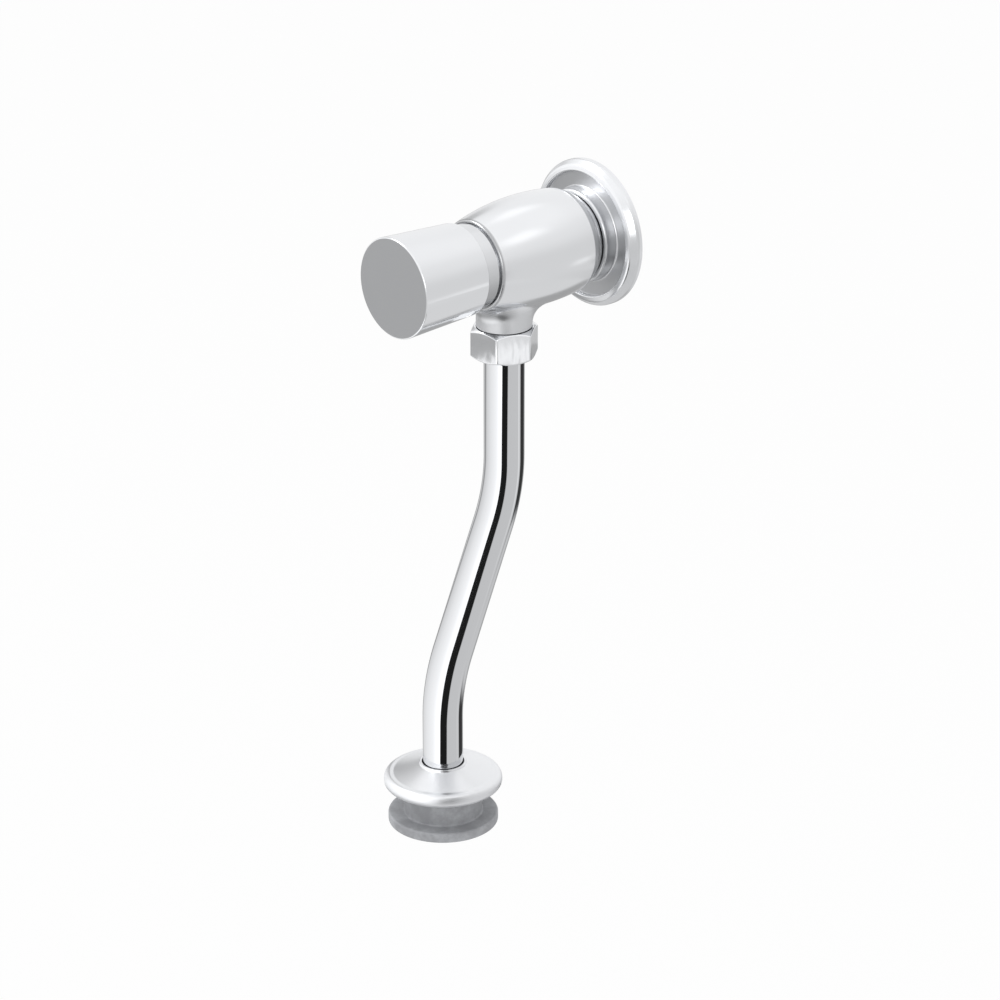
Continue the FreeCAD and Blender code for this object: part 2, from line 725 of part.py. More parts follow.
def union_nut():
    """Hexagon nut with turned corner chamfers, a threaded bore and a floor under the tube's collar."""
    corner = union_flats / math.sqrt(3)
    face = union_flats / 2 - union_face_in
    block = hexagon(union_flats, union_foot, union_top - union_foot, union_turn)
    block.translate(Vec(0, -outlet_depth, 0))
    turned = upright_turned([
        (0, union_foot), (face, union_foot), (corner, union_foot + union_round),
        (corner, union_top - union_round), (face, union_top), (0, union_top)], outlet_depth)
    bore = upright_turned([
        (0, union_foot - past), (tube_radius + 3 * seat_fit, union_foot - past),
        (tube_radius + 3 * seat_fit, collar_foot - seat_fit), (union_bore, collar_foot - seat_fit),
        (union_bore, union_top - union_lead), (union_bore + union_lead + past, union_top + past),
        (0, union_top + past)], outlet_depth)
    return solid(block.common(turned).cut(bore))


def outlet_washer():
    """Flat washer under the body's outlet."""
    top = outlet_end - seat_fit
    return upright_turned([
        (water_radius, top), (union_bore - 4 * seat_fit, top),
        (union_bore - 4 * seat_fit, top - outlet_washer_thick), (water_radius, top - outlet_washer_thick)],
        outlet_depth)


def tube_collar():
    """Ring brazed on the tube's top end."""
    return upright_turned([
        (tube_radius + seat_fit, tube_top), (union_bore - 4 * seat_fit, tube_top),
        (union_bore - 4 * seat_fit, collar_foot), (tube_radius + seat_fit, collar_foot)], outlet_depth)


def tube_path():
    """Centre line of the flush tube: upright, tilted forward, upright again."""
    reach = tube_bend * math.tan(tilt / 2)
    slant = Vec(0, -math.sin(tilt), -math.cos(tilt))
    down = Vec(0, 0, -1)
    top = Vec(0, -outlet_depth, tube_top)
    upper = Vec(0, -outlet_depth, tube_upper_corner)
    lower = Vec(0, -tube_depth, tube_lower_corner)
    foot = Vec(0, -tube_depth, tube_foot)
    a, b = upper - down * reach, upper + slant * reach
    c, d = lower - slant * reach, lower + down * reach
    return Part.Wire([
        Part.LineSegment(top, a).toShape(), arc_by_corner(a, upper, b), Part.LineSegment(b, c).toShape(),
        arc_by_corner(c, lower, d), Part.LineSegment(d, foot).toShape()])


def down_tube():
    """Bent flush tube, the same section all along."""
    path = tube_path()
    top = Vec(0, -outlet_depth, tube_top)
    skins = []
    for radius in (tube_radius, tube_radius - tube_wall):
        shell = Part.BRepOffsetAPI.MakePipeShell(path)
        shell.add(Part.Wire(Part.makeCircle(radius, top, Vec(0, 0, -1))))
        shell.build()
        shell.makeSolid()
        skins.append(solid(shell.shape()))
    return solid(skins[0].cut(skins[1]))


def spud_grommet():
    """Rubber spud: foot flange, neck, an upper lip under the cover plate, and a relieved bore."""
    flange_top = spud_foot + spud_flange_thick
    lip_top = cover_top - (spud_lip_radius - cover_hole) * cone_slope - cover_sheet - 3 * seat_fit - loose_gap
    bore = tube_radius + seat_fit
    relief = bore + spud_relief
    band_foot = spud_groove_top - spud_top_band
    return upright_turned([
        (bore, spud_foot), (spud_flange_radius, spud_foot, spud_edge),
        (spud_flange_radius, flange_top, spud_edge), (spud_neck_radius, flange_top),
        (spud_neck_radius, spud_groove_top + loose_gap),
        (spud_lip_radius, spud_groove_top + loose_gap), (spud_lip_radius, lip_top, spud_lip_edge),
        (bore, lip_top), (bore, band_foot), (relief, band_foot - spud_relief),
        (relief, flange_top + spud_relief), (bore, flange_top)], tube_depth)


def spud_rosette():
    """Spun cover plate: cone with a small lip round the hole, rolled rim."""
    foot_radius = cover_radius - cover_rim_in
    inner_hole = cover_hole + cover_sheet
    drop = cover_sheet * math.sqrt(1 + cone_slope ** 2)
    inner_edge = cover_edge_radius - cover_sheet * cone_slope / 2
    widest = cover_foot + cover_widest
    return upright_turned([
        (cover_hole, cover_top - drop), (cover_hole, cover_top + cover_lip),
        (cover_hole + lip_width, cover_top + cover_lip, lip_edge),
        (cover_hole + lip_foot, cover_top - lip_foot * cone_slope),
        (cover_edge_radius, cover_edge, cover_edge_round, "round"),
        (cover_radius, widest, cover_rim_round, "round"),
        (foot_radius, cover_foot), (foot_radius - cover_sheet, cover_foot),
        (cover_radius - cover_sheet_side, widest, edge_cut), (inner_edge, cover_edge - drop),
        (inner_hole, cover_top - drop - (inner_hole - cover_hole) * cone_slope)], tube_depth)


def nose_o_ring():
    groove_floor = nose_radius - seat_fit - 2 * ring_wire
    return o_ring(groove_floor + ring_wire, ring_place)


def rod_o_ring():
    return o_ring(rod_radius + running_fit + ring_wire, (cap_rear + flange_front) / 2)


def cartridge_gasket():
    """Flat ring between the cartridge's flange and the bonnet's skirt."""
    return ring(bonnet_bore, flange_radius, flange_front, gasket_front - seat_fit)


pieces = [
    push_button, button_stem, stem_clip, button_spring, bonnet, cartridge_gasket, valve_body, wall_flange,
    flange_seal, inlet_strainer, flow_regulator, cartridge, cartridge_cap, nose_o_ring, rod_o_ring, piston,
    piston_seal, metering_pin, piston_rod, seat_washer, washer_plate, washer_nut, main_spring, union_nut,
    outlet_washer, tube_collar, down_tube, spud_rosette, spud_grommet]

os.makedirs("parts", exist_ok=True)
for make in pieces:
    made = make()
    if not made.isValid() or made.Volume <= 0:
        print("not a sound solid:", make.__name__)
    made.exportStep("parts/" + make.__name__ + ".step")
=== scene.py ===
import json
import math

import bpy
import numpy as np
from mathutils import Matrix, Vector


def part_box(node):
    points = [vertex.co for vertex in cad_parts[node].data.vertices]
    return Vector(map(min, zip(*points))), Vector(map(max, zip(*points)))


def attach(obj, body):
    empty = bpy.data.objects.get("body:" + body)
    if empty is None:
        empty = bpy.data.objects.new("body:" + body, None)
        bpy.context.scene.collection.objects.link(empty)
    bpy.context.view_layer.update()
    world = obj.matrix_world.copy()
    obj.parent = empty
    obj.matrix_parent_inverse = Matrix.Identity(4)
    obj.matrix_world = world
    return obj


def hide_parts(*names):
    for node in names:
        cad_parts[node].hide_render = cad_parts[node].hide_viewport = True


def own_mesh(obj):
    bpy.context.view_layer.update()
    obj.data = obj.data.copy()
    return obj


# Push-button urinal flush valve. The valve lies level along Y, the wall is the plane y = 0 and the
# button faces -Y. Lengths in the dictionaries are millimetres; "depth" is the distance from the wall.
mm = 0.001
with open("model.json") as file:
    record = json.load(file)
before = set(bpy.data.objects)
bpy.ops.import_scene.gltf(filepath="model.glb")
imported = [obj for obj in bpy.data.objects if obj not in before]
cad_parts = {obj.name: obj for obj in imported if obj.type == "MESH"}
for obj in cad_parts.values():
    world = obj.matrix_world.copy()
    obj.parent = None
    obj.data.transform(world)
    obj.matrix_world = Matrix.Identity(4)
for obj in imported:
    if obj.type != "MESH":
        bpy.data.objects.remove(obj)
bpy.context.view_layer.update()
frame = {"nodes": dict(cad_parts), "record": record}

# Camera: as seen from the right of the button and a little above it.
shot = dict(azimuth=49.18, elevation=23.02, distance=1600, aim=(0, -47.33, -101.12), pixelsPerMm=2.54,
            framePixels=1000, sensor=36, clip=(0.1, 20))


def placeCamera():
    turn, rise = math.radians(shot["azimuth"]), math.radians(shot["elevation"])
    back = Vector((math.sin(turn) * math.cos(rise), -math.cos(turn) * math.cos(rise), math.sin(rise)))
    data = bpy.data.cameras.new("camera")
    data.sensor_width = shot["sensor"]
    data.lens = shot["sensor"] * shot["distance"] * shot["pixelsPerMm"] / shot["framePixels"]
    data.clip_start, data.clip_end = shot["clip"]
    camera = bpy.data.objects.new("camera", data)
    camera.location = (Vector(shot["aim"]) + back * shot["distance"]) * mm
    camera.rotation_mode = "QUATERNION"
    camera.rotation_quaternion = (-back).to_track_quat("-Z", "Y")
    bpy.context.scene.collection.objects.link(camera)
    bpy.context.scene.camera = camera


placeCamera()
bpy.context.scene.view_settings.view_transform = "Standard"
print("camera placed")


# A shader socket that can be used in sums, so that a material's maths reads as it is.
class Wire:
    def __init__(self, bench, socket):
        self.bench, self.socket = bench, socket

    def __add__(self, other):
        return self.bench.maths("ADD", self, other)

    def __sub__(self, other):
        return self.bench.maths("SUBTRACT", self, other)

    def __rsub__(self, other):
        return self.bench.maths("SUBTRACT", other, self)

    def __mul__(self, other):
        return self.bench.maths("MULTIPLY", self, other)

    def __pow__(self, other):
        return self.bench.maths("POWER", self, other)

    __radd__ = __add__
    __rmul__ = __mul__


# A material or world tree. "add" puts in any node: its settings first, then the values or links of its
# sockets, and it gives back one output, by number or name.
class Bench:
    def __init__(self, owner):
        owner.use_nodes = True
        self.tree = owner.node_tree
        self.tree.nodes.clear()

    def add(self, kind, settings=None, inputs=None, output=0):
        node = self.tree.nodes.new(kind)
        for name, value in (settings or {}).items():
            setattr(node, name, value)
        for name, value in (inputs or {}).items():
            if isinstance(value, Wire):
                self.tree.links.new(value.socket, node.inputs[name])
            else:
                node.inputs[name].default_value = value
        return Wire(self, node.outputs[output]) if node.outputs else node

    def maths(self, operation, *values):
        return self.add("ShaderNodeMath", dict(operation=operation), dict(enumerate(values)))

    # smooth step of a value from low to high
    def step(self, value, low, high):
        return self.add("ShaderNodeMapRange", dict(interpolation_type="SMOOTHSTEP"),
                        {"Value": value, "From Min": low, "From Max": high})

    def blend(self, share, first, second):
        return self.add("ShaderNodeMix", dict(data_type="RGBA"), {0: share, 6: first, 7: second}, 2)

    # object coordinates in millimetres, stretched by three factors
    def place(self, stretch=(1, 1, 1)):
        spot = self.add("ShaderNodeTexCoord", output="Object")
        return self.add("ShaderNodeVectorMath", dict(operation="MULTIPLY"),
                        {0: spot, 1: tuple(s / mm for s in stretch)})

    def parts(self, vector):
        return [self.add("ShaderNodeSeparateXYZ", None, {0: vector}, axis) for axis in "XYZ"]

    def noise(self, place, scale, detail=3, rough=0.5):
        return self.add("ShaderNodeTexNoise", None,
                        {"Vector": place, "Scale": scale, "Detail": detail, "Roughness": rough})

    def bump(self, height, depth, strength=1.0):
        return self.add("ShaderNodeBump", None,
                        {"Height": height, "Distance": depth * mm, "Strength": strength})

    def surface(self, inputs):
        skin = self.add("ShaderNodeBsdfPrincipled", None, inputs)
        self.add("ShaderNodeOutputMaterial", None, {"Surface": skin})


def material(name):
    made = bpy.data.materials.new(name)
    return made, Bench(made)


# Bright plating: a faint polishing ripple, wipe marks that only change the gloss, and a little haze.
# The castings are polished softer than the drawn tube, which keeps hard reflections.
plating = dict(tone=(0.855, 0.865, 0.885), faded=0.96, shade=0.05, gloss=0.10, haze=0.04, ripple=0.010,
               cloudScale=0.05, wipeScale=0.4, rippleScale=0.11, grainScale=3.0, grain=0.004)


# The optional mask function works out from the place in millimetres what is added to the roughness, and the
# share by which the tone darkens towards the plating's shade; on body, sleeve and flange that darkening is
# painted shade.
def platedMetal(name, stretch=(1, 1, 1), ripple=1.0, gloss=0.0, shade=1.0, dullingAndDarkening=None):
    made, bench = material(name)
    p = plating
    spot = bench.place(stretch)
    wiped = bench.place((stretch[0] * 3, stretch[1] * 0.4, stretch[2] * 3))
    cloud = bench.noise(spot, p["cloudScale"], 2)
    wipes = bench.noise(wiped, p["wipeScale"], 4, 0.7)
    swell = bench.noise(spot, p["rippleScale"], 1)
    grain = bench.noise(bench.place(), p["grainScale"], 2)
    haze = bench.step(cloud, 0.35, 0.75) * 0.5 + bench.step(wipes, 0.5, 0.8) * 0.5
    bright = np.array(p["tone"]) * shade
    tone = bench.blend(cloud, (*bright, 1), (*(bright * p["faded"]), 1))
    rough = haze * p["haze"] + (p["gloss"] + gloss)
    if dullingAndDarkening:
        dull, dark = dullingAndDarkening(bench, *bench.parts(bench.place()))
        tone = bench.blend(dark, tone, (*(bright * p["shade"]), 1))
        rough = rough + dull
    bench.surface({
        "Base Color": tone, "Metallic": 1.0, "Roughness": rough,
        "Normal": bench.bump(swell * ripple + grain * p["grain"], p["ripple"])})
    return made


# Moulded rubber: even dull grey, slightly paler where it was handled, with a fine open grain.
rubber = dict(dark=(0.28, 0.285, 0.30), pale=(0.43, 0.44, 0.46), rough=0.52, dusty=0.2, grain=0.03,
              bloomScale=0.09, dustScale=0.7, grainScale=2.2)


def mouldedRubber(name, dark, pale):
    made, bench = material(name)
    r = rubber
    bloom = bench.noise(bench.place(), r["bloomScale"], 4, 0.6)
    grain = bench.noise(bench.place(), r["grainScale"], 4, 0.6)
    dust = bench.noise(bench.place(), r["dustScale"], 6, 0.7)
    tone = bench.blend(bench.step(bloom * 0.7 + dust * 0.3, 0.35, 0.68), (*dark, 1), (*pale, 1))
    bench.surface({
        "Base Color": tone, "Roughness": r["rough"] + bench.step(dust, 0.4, 0.7) * r["dusty"],
        "Normal": bench.bump(grain + dust * 0.6, r["grain"], 0.8)})
    return made


# Turned brass and drawn steel: fine rings along the valve's axis, and a stain that darkens the tone.
def turnedMetal(name, tone, shade, pitch=2.2):
    made, bench = material(name)
    along = bench.parts(bench.place())[1]
    rings = bench.add("ShaderNodeTexNoise", dict(noise_dimensions="1D"),
                      {"W": along * pitch, "Scale": 1.0, "Detail": 4, "Roughness": 0.7})
    stain = bench.noise(bench.place(), 0.15, 4, 0.6)
    bench.surface({
        "Base Color": bench.blend(bench.step(stain, 0.35, 0.7), (*tone, 1), (*shade, 1)), "Metallic": 1.0,
        "Roughness": 0.22 + rings * 0.18, "Normal": bench.bump(rings, 0.01)})
    return made


# Moulded plastic and fibre: a mottled tone under a fine grain.
def mouldedPlastic(name, tone, shade, rough):
    made, bench = material(name)
    mottle = bench.noise(bench.place(), 0.3, 4, 0.6)
    grain = bench.noise(bench.place(), 6.0, 3, 0.6)
    bench.surface({
        "Base Color": bench.blend(bench.step(mottle, 0.3, 0.7), (*tone, 1), (*shade, 1)),
        "Roughness": rough + grain * 0.12, "Normal": bench.bump(grain, 0.008)})
    return made


finish = {
    "chrome_plate": platedMetal("castPlating"),
    "raw_brass": turnedMetal("turnedBrass", (0.72, 0.55, 0.28), (0.60, 0.42, 0.19)),
    "spring_steel": turnedMetal("drawnSteel", (0.62, 0.62, 0.63), (0.50, 0.50, 0.51), pitch=0.6),
    "black_rubber": mouldedRubber("blackRubber", (0.022, 0.022, 0.023), (0.045, 0.045, 0.046)),
    "fibre_washer": mouldedPlastic("redFibre", (0.42, 0.11, 0.07), (0.30, 0.07, 0.05), 0.6),
    "white_acetal": mouldedPlastic("whiteAcetal", (0.84, 0.84, 0.80), (0.76, 0.76, 0.71), 0.35),
    "grey_rubber": mouldedRubber("greyRubber", rubber["dark"], rubber["pale"])}
slotOf = {part["node"]: part["material_slot"] for part in frame["record"]["subparts"]}
for name, node in frame["nodes"].items():
    node.data.materials.clear()
    node.data.materials.append(finish[slotOf[name]])
print("materials made")


stepsPerRadian = 10 / 1.5
weldGrid = 1e7  # points that agree to a tenth of a micrometre become one
nudge = 1e-4  # small change from which a slope is worked out


# Outline of a turned piece as runs of points with their outward normals. A corner's third number is the
# radius of the arc that rounds it: the arc touches both sides, and its normals are its rays. The outline
# runs round the section and may start and end on the axis.
def outline(corners, closed=True):
    spots = np.array([c[:2] for c in corners], float)
    count = len(spots)
    area = np.sum(spots[:, 0] * np.roll(spots[:, 1], -1) - np.roll(spots[:, 0], -1) * spots[:, 1])
    side = 1 if area > 0 else -1
    starts, ends, runs = {}, {}, []
    for i, corner in enumerate(corners):
        starts[i] = ends[i] = spots[i]
        if len(corner) > 2:
            a, b = spots[i - 1] - spots[i], spots[(i + 1) % count] - spots[i]
            a, b = a / np.linalg.norm(a), b / np.linalg.norm(b)
            half = math.acos(np.clip(a @ b, -1, 1)) / 2
            cut = corner[2] / math.tan(half)
            starts[i], ends[i] = spots[i] + a * cut, spots[i] + b * cut
            middle = spots[i] + (a + b) / np.linalg.norm(a + b) * corner[2] / math.sin(half)
            first = math.atan2(*(starts[i] - middle)[::-1])
            sweep = (math.atan2(*(ends[i] - middle)[::-1]) - first + math.pi) % (2 * math.pi) - math.pi
            angle = first + sweep * np.linspace(0, 1, max(3, int(stepsPerRadian * abs(sweep)) + 1))
            ray = np.stack([np.cos(angle), np.sin(angle)], 1)
            runs.append((i - 0.5, middle + ray * corner[2], ray * np.sign(sweep) * side))
    for i in range(count if closed else count - 1):
        a, b = ends[i], starts[(i + 1) % count]
        along = b - a
        if np.linalg.norm(along) > 1e-6:
            normal = np.array([along[1], -along[0]]) / np.linalg.norm(along) * side
            runs.append((i, np.array([a, b]), np.array([normal, normal])))
    return [run[1:] for run in sorted(runs, key=lambda run: run[0])]


# A point at radius r and height h turns about an axis: level pieces about Y, upright ones about Z.
def levelTurn(r, h, angle):
    return np.stack([r * np.cos(angle), -h + 0 * angle, r * np.sin(angle)], -1)


def uprightTurn(r, h, angle):
    return np.stack([r * np.cos(angle), r * np.sin(angle), h + 0 * angle], -1)


# Every run of the outline is carried round the axis: one patch of points and one of normals each.
def turnedPatches(runs, turn, depth=0, ways=256):
    angle = np.linspace(0, 2 * math.pi, ways + 1)[None, :]
    return [(turn(p[:, :1], p[:, 1:], angle) - [0, depth, 0], turn(n[:, :1], n[:, 1:], angle))
            for p, n in runs]


# Corner numbers of the four-sided faces between the points of a grid.
def gridFaces(rows, columns):
    index = np.arange(rows * columns).reshape(rows, columns)
    return np.stack([index[:-1, :-1], index[1:, :-1], index[1:, 1:], index[:-1, 1:]], -1).reshape(-1, 4)


# Patches become one closed mesh: equal points are welded, faces are wound along the given normals,
# and the normals are kept at the corners, so that round stays round and edges stay crisp.
def weldedPiece(name, patches, skin, body, nodes=()):
    points = np.concatenate([p.reshape(-1, 3) for p, n in patches]) * mm
    normals = np.concatenate([n.reshape(-1, 3) for p, n in patches])
    quads, start = [], 0
    for p, n in patches:
        quads.append(start + gridFaces(p.shape[0], p.shape[1]))
        start += p.shape[0] * p.shape[1]
    quads = np.concatenate(quads)
    _, first, same = np.unique(np.round(points * weldGrid).astype(np.int64), axis=0,
                               return_index=True, return_inverse=True)
    same = same.reshape(-1)
    spot = points[quads]
    faced = np.cross(spot[:, 2] - spot[:, 0], spot[:, 3] - spot[:, 1])
    wrong = (faced * normals[quads].sum(1)).sum(1) < 0
    quads[wrong] = quads[wrong][:, ::-1]
    corners = same[quads]
    kept = corners != np.roll(corners, 1, axis=1)
    whole = (kept.sum(1) > 2) & (corners[:, 0] != corners[:, 2]) & (corners[:, 1] != corners[:, 3])
    quads, corners, kept = quads[whole], corners[whole], kept[whole]
    mesh = bpy.data.meshes.new(name)
    mesh.vertices.add(len(first))
    mesh.vertices.foreach_set("co", points[first].ravel())
    mesh.loops.add(int(kept.sum()))
    mesh.loops.foreach_set("vertex_index", corners[kept])
    mesh.polygons.add(len(corners))
    mesh.polygons.foreach_set("loop_start", np.concatenate([[0], np.cumsum(kept.sum(1))[:-1]]))
    mesh.update(calc_edges=True)
    mesh.polygons.foreach_set("use_smooth", np.ones(len(corners), bool))
    mesh.normals_split_custom_set(normals[quads][kept])
    mesh.materials.append(skin)
    piece = bpy.data.objects.new(name, mesh)
    bpy.context.scene.collection.objects.link(piece)
    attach(piece, body)
    if nodes:
        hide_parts(*nodes)
    print(name, len(first), "points", len(corners), "faces")
    return piece


# Push button: a deep tapered cup over the bonnet, its outline turned about the valve's axis.
button = dict(rear=68.2, front=100.4, rearRadius=18.2, frontRadius=19.8, edge=0.55, bore=17.0, floor=97.4,
              boss=6.0, bossEnd=91.9, hole=2.55, holeEnd=99.2)


def pushButton():
    b = button
    runs = outline([
        (0, b["holeEnd"]), (b["hole"], b["holeEnd"]), (b["hole"], b["bossEnd"]),
        (b["boss"], b["bossEnd"], 0.5), (b["boss"], b["floor"], 0.8), (b["bore"], b["floor"], 0.8),
        (b["bore"], b["rear"], 0.15), (b["rearRadius"], b["rear"], 0.4),
        (b["frontRadius"], b["front"], b["edge"]), (0, b["front"])], False)
    return weldedPiece("pushButton", turnedPatches(runs, levelTurn), finish["button"], "button",
                       ["push_button"])


# Bonnet: the guide sleeve that shows as a bright ring between button and body, an outline with a web
# inside and a small groove in front of the body, turned about the valve's axis.
sleeve = dict(radius=16.7, bore=12.5, skirt=15.75, rear=56.7, shoulder=61.25, groove=0.7, front=90.5,
              web=(82.0, 85.0), hole=4.3)


def bonnetSleeve():
    s = sleeve
    low, step = s["radius"] - s["groove"], s["shoulder"] + s["groove"]
    near, far = s["web"]
    runs = outline([
        (s["bore"], s["rear"]), (s["skirt"], s["rear"], 0.3), (s["skirt"], s["shoulder"]),
        (low, s["shoulder"]), (low, step, 0.1), (s["radius"], step, 0.15), (s["radius"], s["front"], 0.5),
        (s["bore"], s["front"], 0.5), (s["bore"], far), (s["hole"], far), (s["hole"], near),
        (s["bore"], near)])
    return weldedPiece("bonnetSleeve", turnedPatches(runs, levelTurn), finish["sleeve"], "valve",
                       ["bonnet"])


# Painted shade on the lower half of the sleeve: its tone darkens and it grows a little duller, the share
# growing from 6 mm above the axis to 9 mm below it.
sleeveDullingAndShade = dict(dull=0.08, dark=0.47)


def sleeveShade(bench, x, y, z):
    low = bench.step(z, 6, -9)
    return low * sleeveDullingAndShade["dull"], low * sleeveDullingAndShade["dark"]


# Body: the barrel is a circle's arc turned about the valve's axis, and the branch runs into it on a ball
# of one radius. In each direction round the branch the ball touches the barrel and the branch once. The
# barrel's skin, rolled out flat, is laid from those touches to its four borders on straight lines.
barrel = dict(radius=21.955, fullest=31.5, sweep=107.0, front=61.2, bevel=60.22, bevelEnd=17.1,
              knee=0.285, shoulder=16.8, kink=0.33, rear=9.8, rearRadius=17.2, thread=15.8, ledge=53.2,
              chamber=14.3, chamberEnd=28.2, nose=11.5, noseEnd=21.9, room=11.0, roomEnd=10.2, water=7.0)
branch = dict(depth=45.2, radius=11.0, blend=8.0, foot=-27.905, spigot=10.35, end=-36.005, water=7.0,
              roof=-16.0)
skinGrid = dict(tries=6001, halvings=44, end=121, side=47, rows=61, crowd=1.25, blendRows=25, rimRows=7,
                shoulderRows=21)


# Barrel's radius at a depth: the arc's centre lies across the axis, and its distance from the axis is
# taken off the arc's height over that centre.
def barrelRadius(depth, sweep=barrel["sweep"]):
    centre = barrel["radius"] - barrel["sweep"]
    return centre + np.sqrt(sweep ** 2 - (depth - barrel["fullest"]) ** 2)


# Skin of the blend in a direction round the branch: the ball's centre lies one ball's radius outside
# both barrel and branch, and its ray turns from the barrel's touch to the branch's.
def blendSkin(way, share):
    reach, hollow = branch["radius"] + branch["blend"], barrel["sweep"] + branch["blend"]
    x, depth = reach * np.cos(way), branch["depth"] - reach * np.sin(way)
    radius = barrelRadius(depth, hollow)
    z = -np.sqrt(radius ** 2 - x ** 2)
    out = (radius + barrel["sweep"] - barrel["radius"]) / hollow
    along = (depth - barrel["fullest"]) / hollow
    first = -np.stack([out * x / radius, -along, out * z / radius], -1)
    last = -np.stack([np.cos(way), np.sin(way), 0 * way], -1)
    angle = np.arccos((first * last).sum(-1))[..., None]
    share = np.asarray(share)[..., None]
    ray = (np.sin((1 - share) * angle) * first + np.sin(share * angle) * last) / np.sin(angle)
    return np.stack([x, -depth, z], -1) + ray * branch["blend"], -ray


# Share of the blend where a test on its points turns from true to false, by halving.
def blendShare(way, inside):
    low, high = np.zeros_like(way), np.ones_like(way)
    for _ in range(skinGrid["halvings"]):
        half = (low + high) / 2
        holds = inside(blendSkin(way, half)[0])
        low, high = np.where(holds, half, low), np.where(holds, high, half)
    return np.where(inside(blendSkin(way, np.zeros_like(way))[0]), high, 0)


def barrelBody():
    b, g, flat = barrel, skinGrid, barrel["radius"]
    reach, front, rear = flat * math.pi, b["bevel"] - branch["depth"], b["shoulder"] - branch["depth"]
    deep = front - rear
    tiny = 1e-9

    def blendStart(way):
        share = blendShare(way, lambda p: -p[..., 1] > b["bevel"])
        touch = blendSkin(way, share)[0]
        across = flat * (np.arctan2(touch[..., 2], touch[..., 0]) + math.pi / 2)
        return share, touch, across, -touch[..., 1] - branch["depth"]

    # run along half the border: front edge, side edge on the top line, rear edge
    way = np.linspace(-math.pi / 2, math.pi / 2, g["tries"])
    share, touch, across, ahead = blendStart(way)
    stretch = np.where(ahead > 0, front / np.maximum(ahead, tiny), rear / np.minimum(ahead, -tiny))
    stretch = np.minimum(reach / np.maximum(across, tiny), stretch)
    side, top = across * stretch, ahead * stretch
    run = np.where(top > front - tiny, side,
                   np.where(top < rear + tiny, 2 * reach + deep - side, reach + front - top))
    picks = np.concatenate([np.linspace(0, reach, g["end"]), np.linspace(reach, reach + deep, g["side"])[1:],
                            np.linspace(reach + deep, 2 * reach + deep, g["end"])[1:]])
    way = np.interp(picks, np.maximum.accumulate(run), way)
    share, touch, across, ahead = blendStart(way)
    side = np.clip(np.minimum(picks, 2 * reach + deep - picks), 0, reach)
    top = np.clip(reach + front - picks, rear, front)
    side, top = np.where(share > 0, across, side), np.where(share > 0, front, top)
    out = (np.linspace(0, 1, g["rows"]) ** g["crowd"])[:, None]
    turn = (across + (side - across) * out) / flat - math.pi / 2
    depth = ahead + (top - ahead) * out + branch["depth"]
    over = np.where(share > 0, np.hypot(touch[:, 0], touch[:, 2]) - barrelRadius(b["bevel"]), 0)
    radius, lean = barrelRadius(depth) + over, (depth - b["fullest"]) / b["sweep"]
    ray = np.stack([np.cos(turn), 0 * turn, np.sin(turn)], -1)
    normal = ray * np.sqrt(1 - lean ** 2)[..., None] + np.stack([0 * turn, -lean, 0 * turn], -1)
    patches = [(ray * radius[..., None] + np.stack([0 * turn, -depth, 0 * turn], -1), normal)]
    # blend, neck, foot and spigot
    end = blendShare(way, lambda p: p[..., 2] > branch["foot"])
    rows = np.linspace(0, 1, g["blendRows"])[:, None]
    skin, skinNormal = blendSkin(way + 0 * rows, share + (end - share) * rows)
    patches.append((skin, skinNormal))
    ways = np.stack([np.cos(way), np.sin(way), 0 * way], -1)

    def roundAt(r, height):
        return ways * r + [0, -branch["depth"], height]

    foot = skin[-1] * [1, 1, 0] + [0, 0, branch["foot"]]
    down = np.zeros_like(ways) + [0, 0, -1]
    rings = [skin[-1], foot] + [roundAt(branch[r], branch[height]) for r, height in (
        ("spigot", "foot"), ("spigot", "end"), ("water", "end"), ("water", "roof"))]
    rings.append(roundAt(0, branch["roof"]))
    facing = [ways, down, ways, down, -ways, down]
    patches += [(np.stack([p, q]), np.stack([n, n])) for p, q, n in zip(rings, rings[1:], facing)]
    # front rim: from the barrel's border by way of a knee to the flat front, as a curve of second degree
    ahead, edge = turn[-1, :g["end"]], radius[-1, :g["end"]][None, :]
    bend = np.linspace(0, 1, g["rimRows"])[:, None]
    bevel = b["front"] - b["bevel"]
    knee = edge - b["knee"] * bevel
    rim = (1 - bend) ** 2 * edge + 2 * bend * (1 - bend) * knee + bend ** 2 * b["bevelEnd"]
    rimDepth = b["front"] - (1 - bend) ** 2 * bevel + 0 * edge
    fall = 2 * (1 - bend) * (edge - knee) + 2 * bend * (knee - b["bevelEnd"])
    rise = 2 * (1 - bend) * bevel
    size = np.hypot(fall, rise)
    patches.append((levelTurn(rim, rimDepth, ahead), levelTurn(rise / size, fall / size, ahead)))
    # bore, rear shoulder and rear face, turned at the angles of the borders' own points
    bore = outline([(b["bevelEnd"], b["front"]), (b["thread"], b["front"], 0.3), (b["thread"], b["ledge"]),
                    (b["chamber"], b["ledge"]), (b["chamber"], b["chamberEnd"]), (b["nose"], b["chamberEnd"]),
                    (b["nose"], b["noseEnd"]), (b["room"], b["noseEnd"]), (b["room"], b["roomEnd"], 1.5),
                    (b["water"], b["roomEnd"]), (b["water"], b["rear"])], False)
    patches += [(levelTurn(p[:, :1], p[:, 1:], ahead), levelTurn(-n[:, :1], -n[:, 1:], ahead))
                for p, n in bore]
    behind = turn[-1, -g["end"]:]
    p, n = shoulderArc()
    patches.append((levelTurn(p[:, :1], p[:, 1:], behind), levelTurn(n[:, :1], n[:, 1:], behind)))
    back = np.stack([levelTurn(b["rearRadius"], b["rear"], behind),
                     levelTurn(b["water"], b["rear"], ahead[::-1])])
    patches.append((back, np.zeros_like(back) + [0, 1, 0]))
    mirror = np.array([-1, 1, 1])
    patches += [(p * mirror, n * mirror) for p, n in patches]
    return weldedPiece("barrelBody", patches, finish["body"], "valve", ["valve_body"])
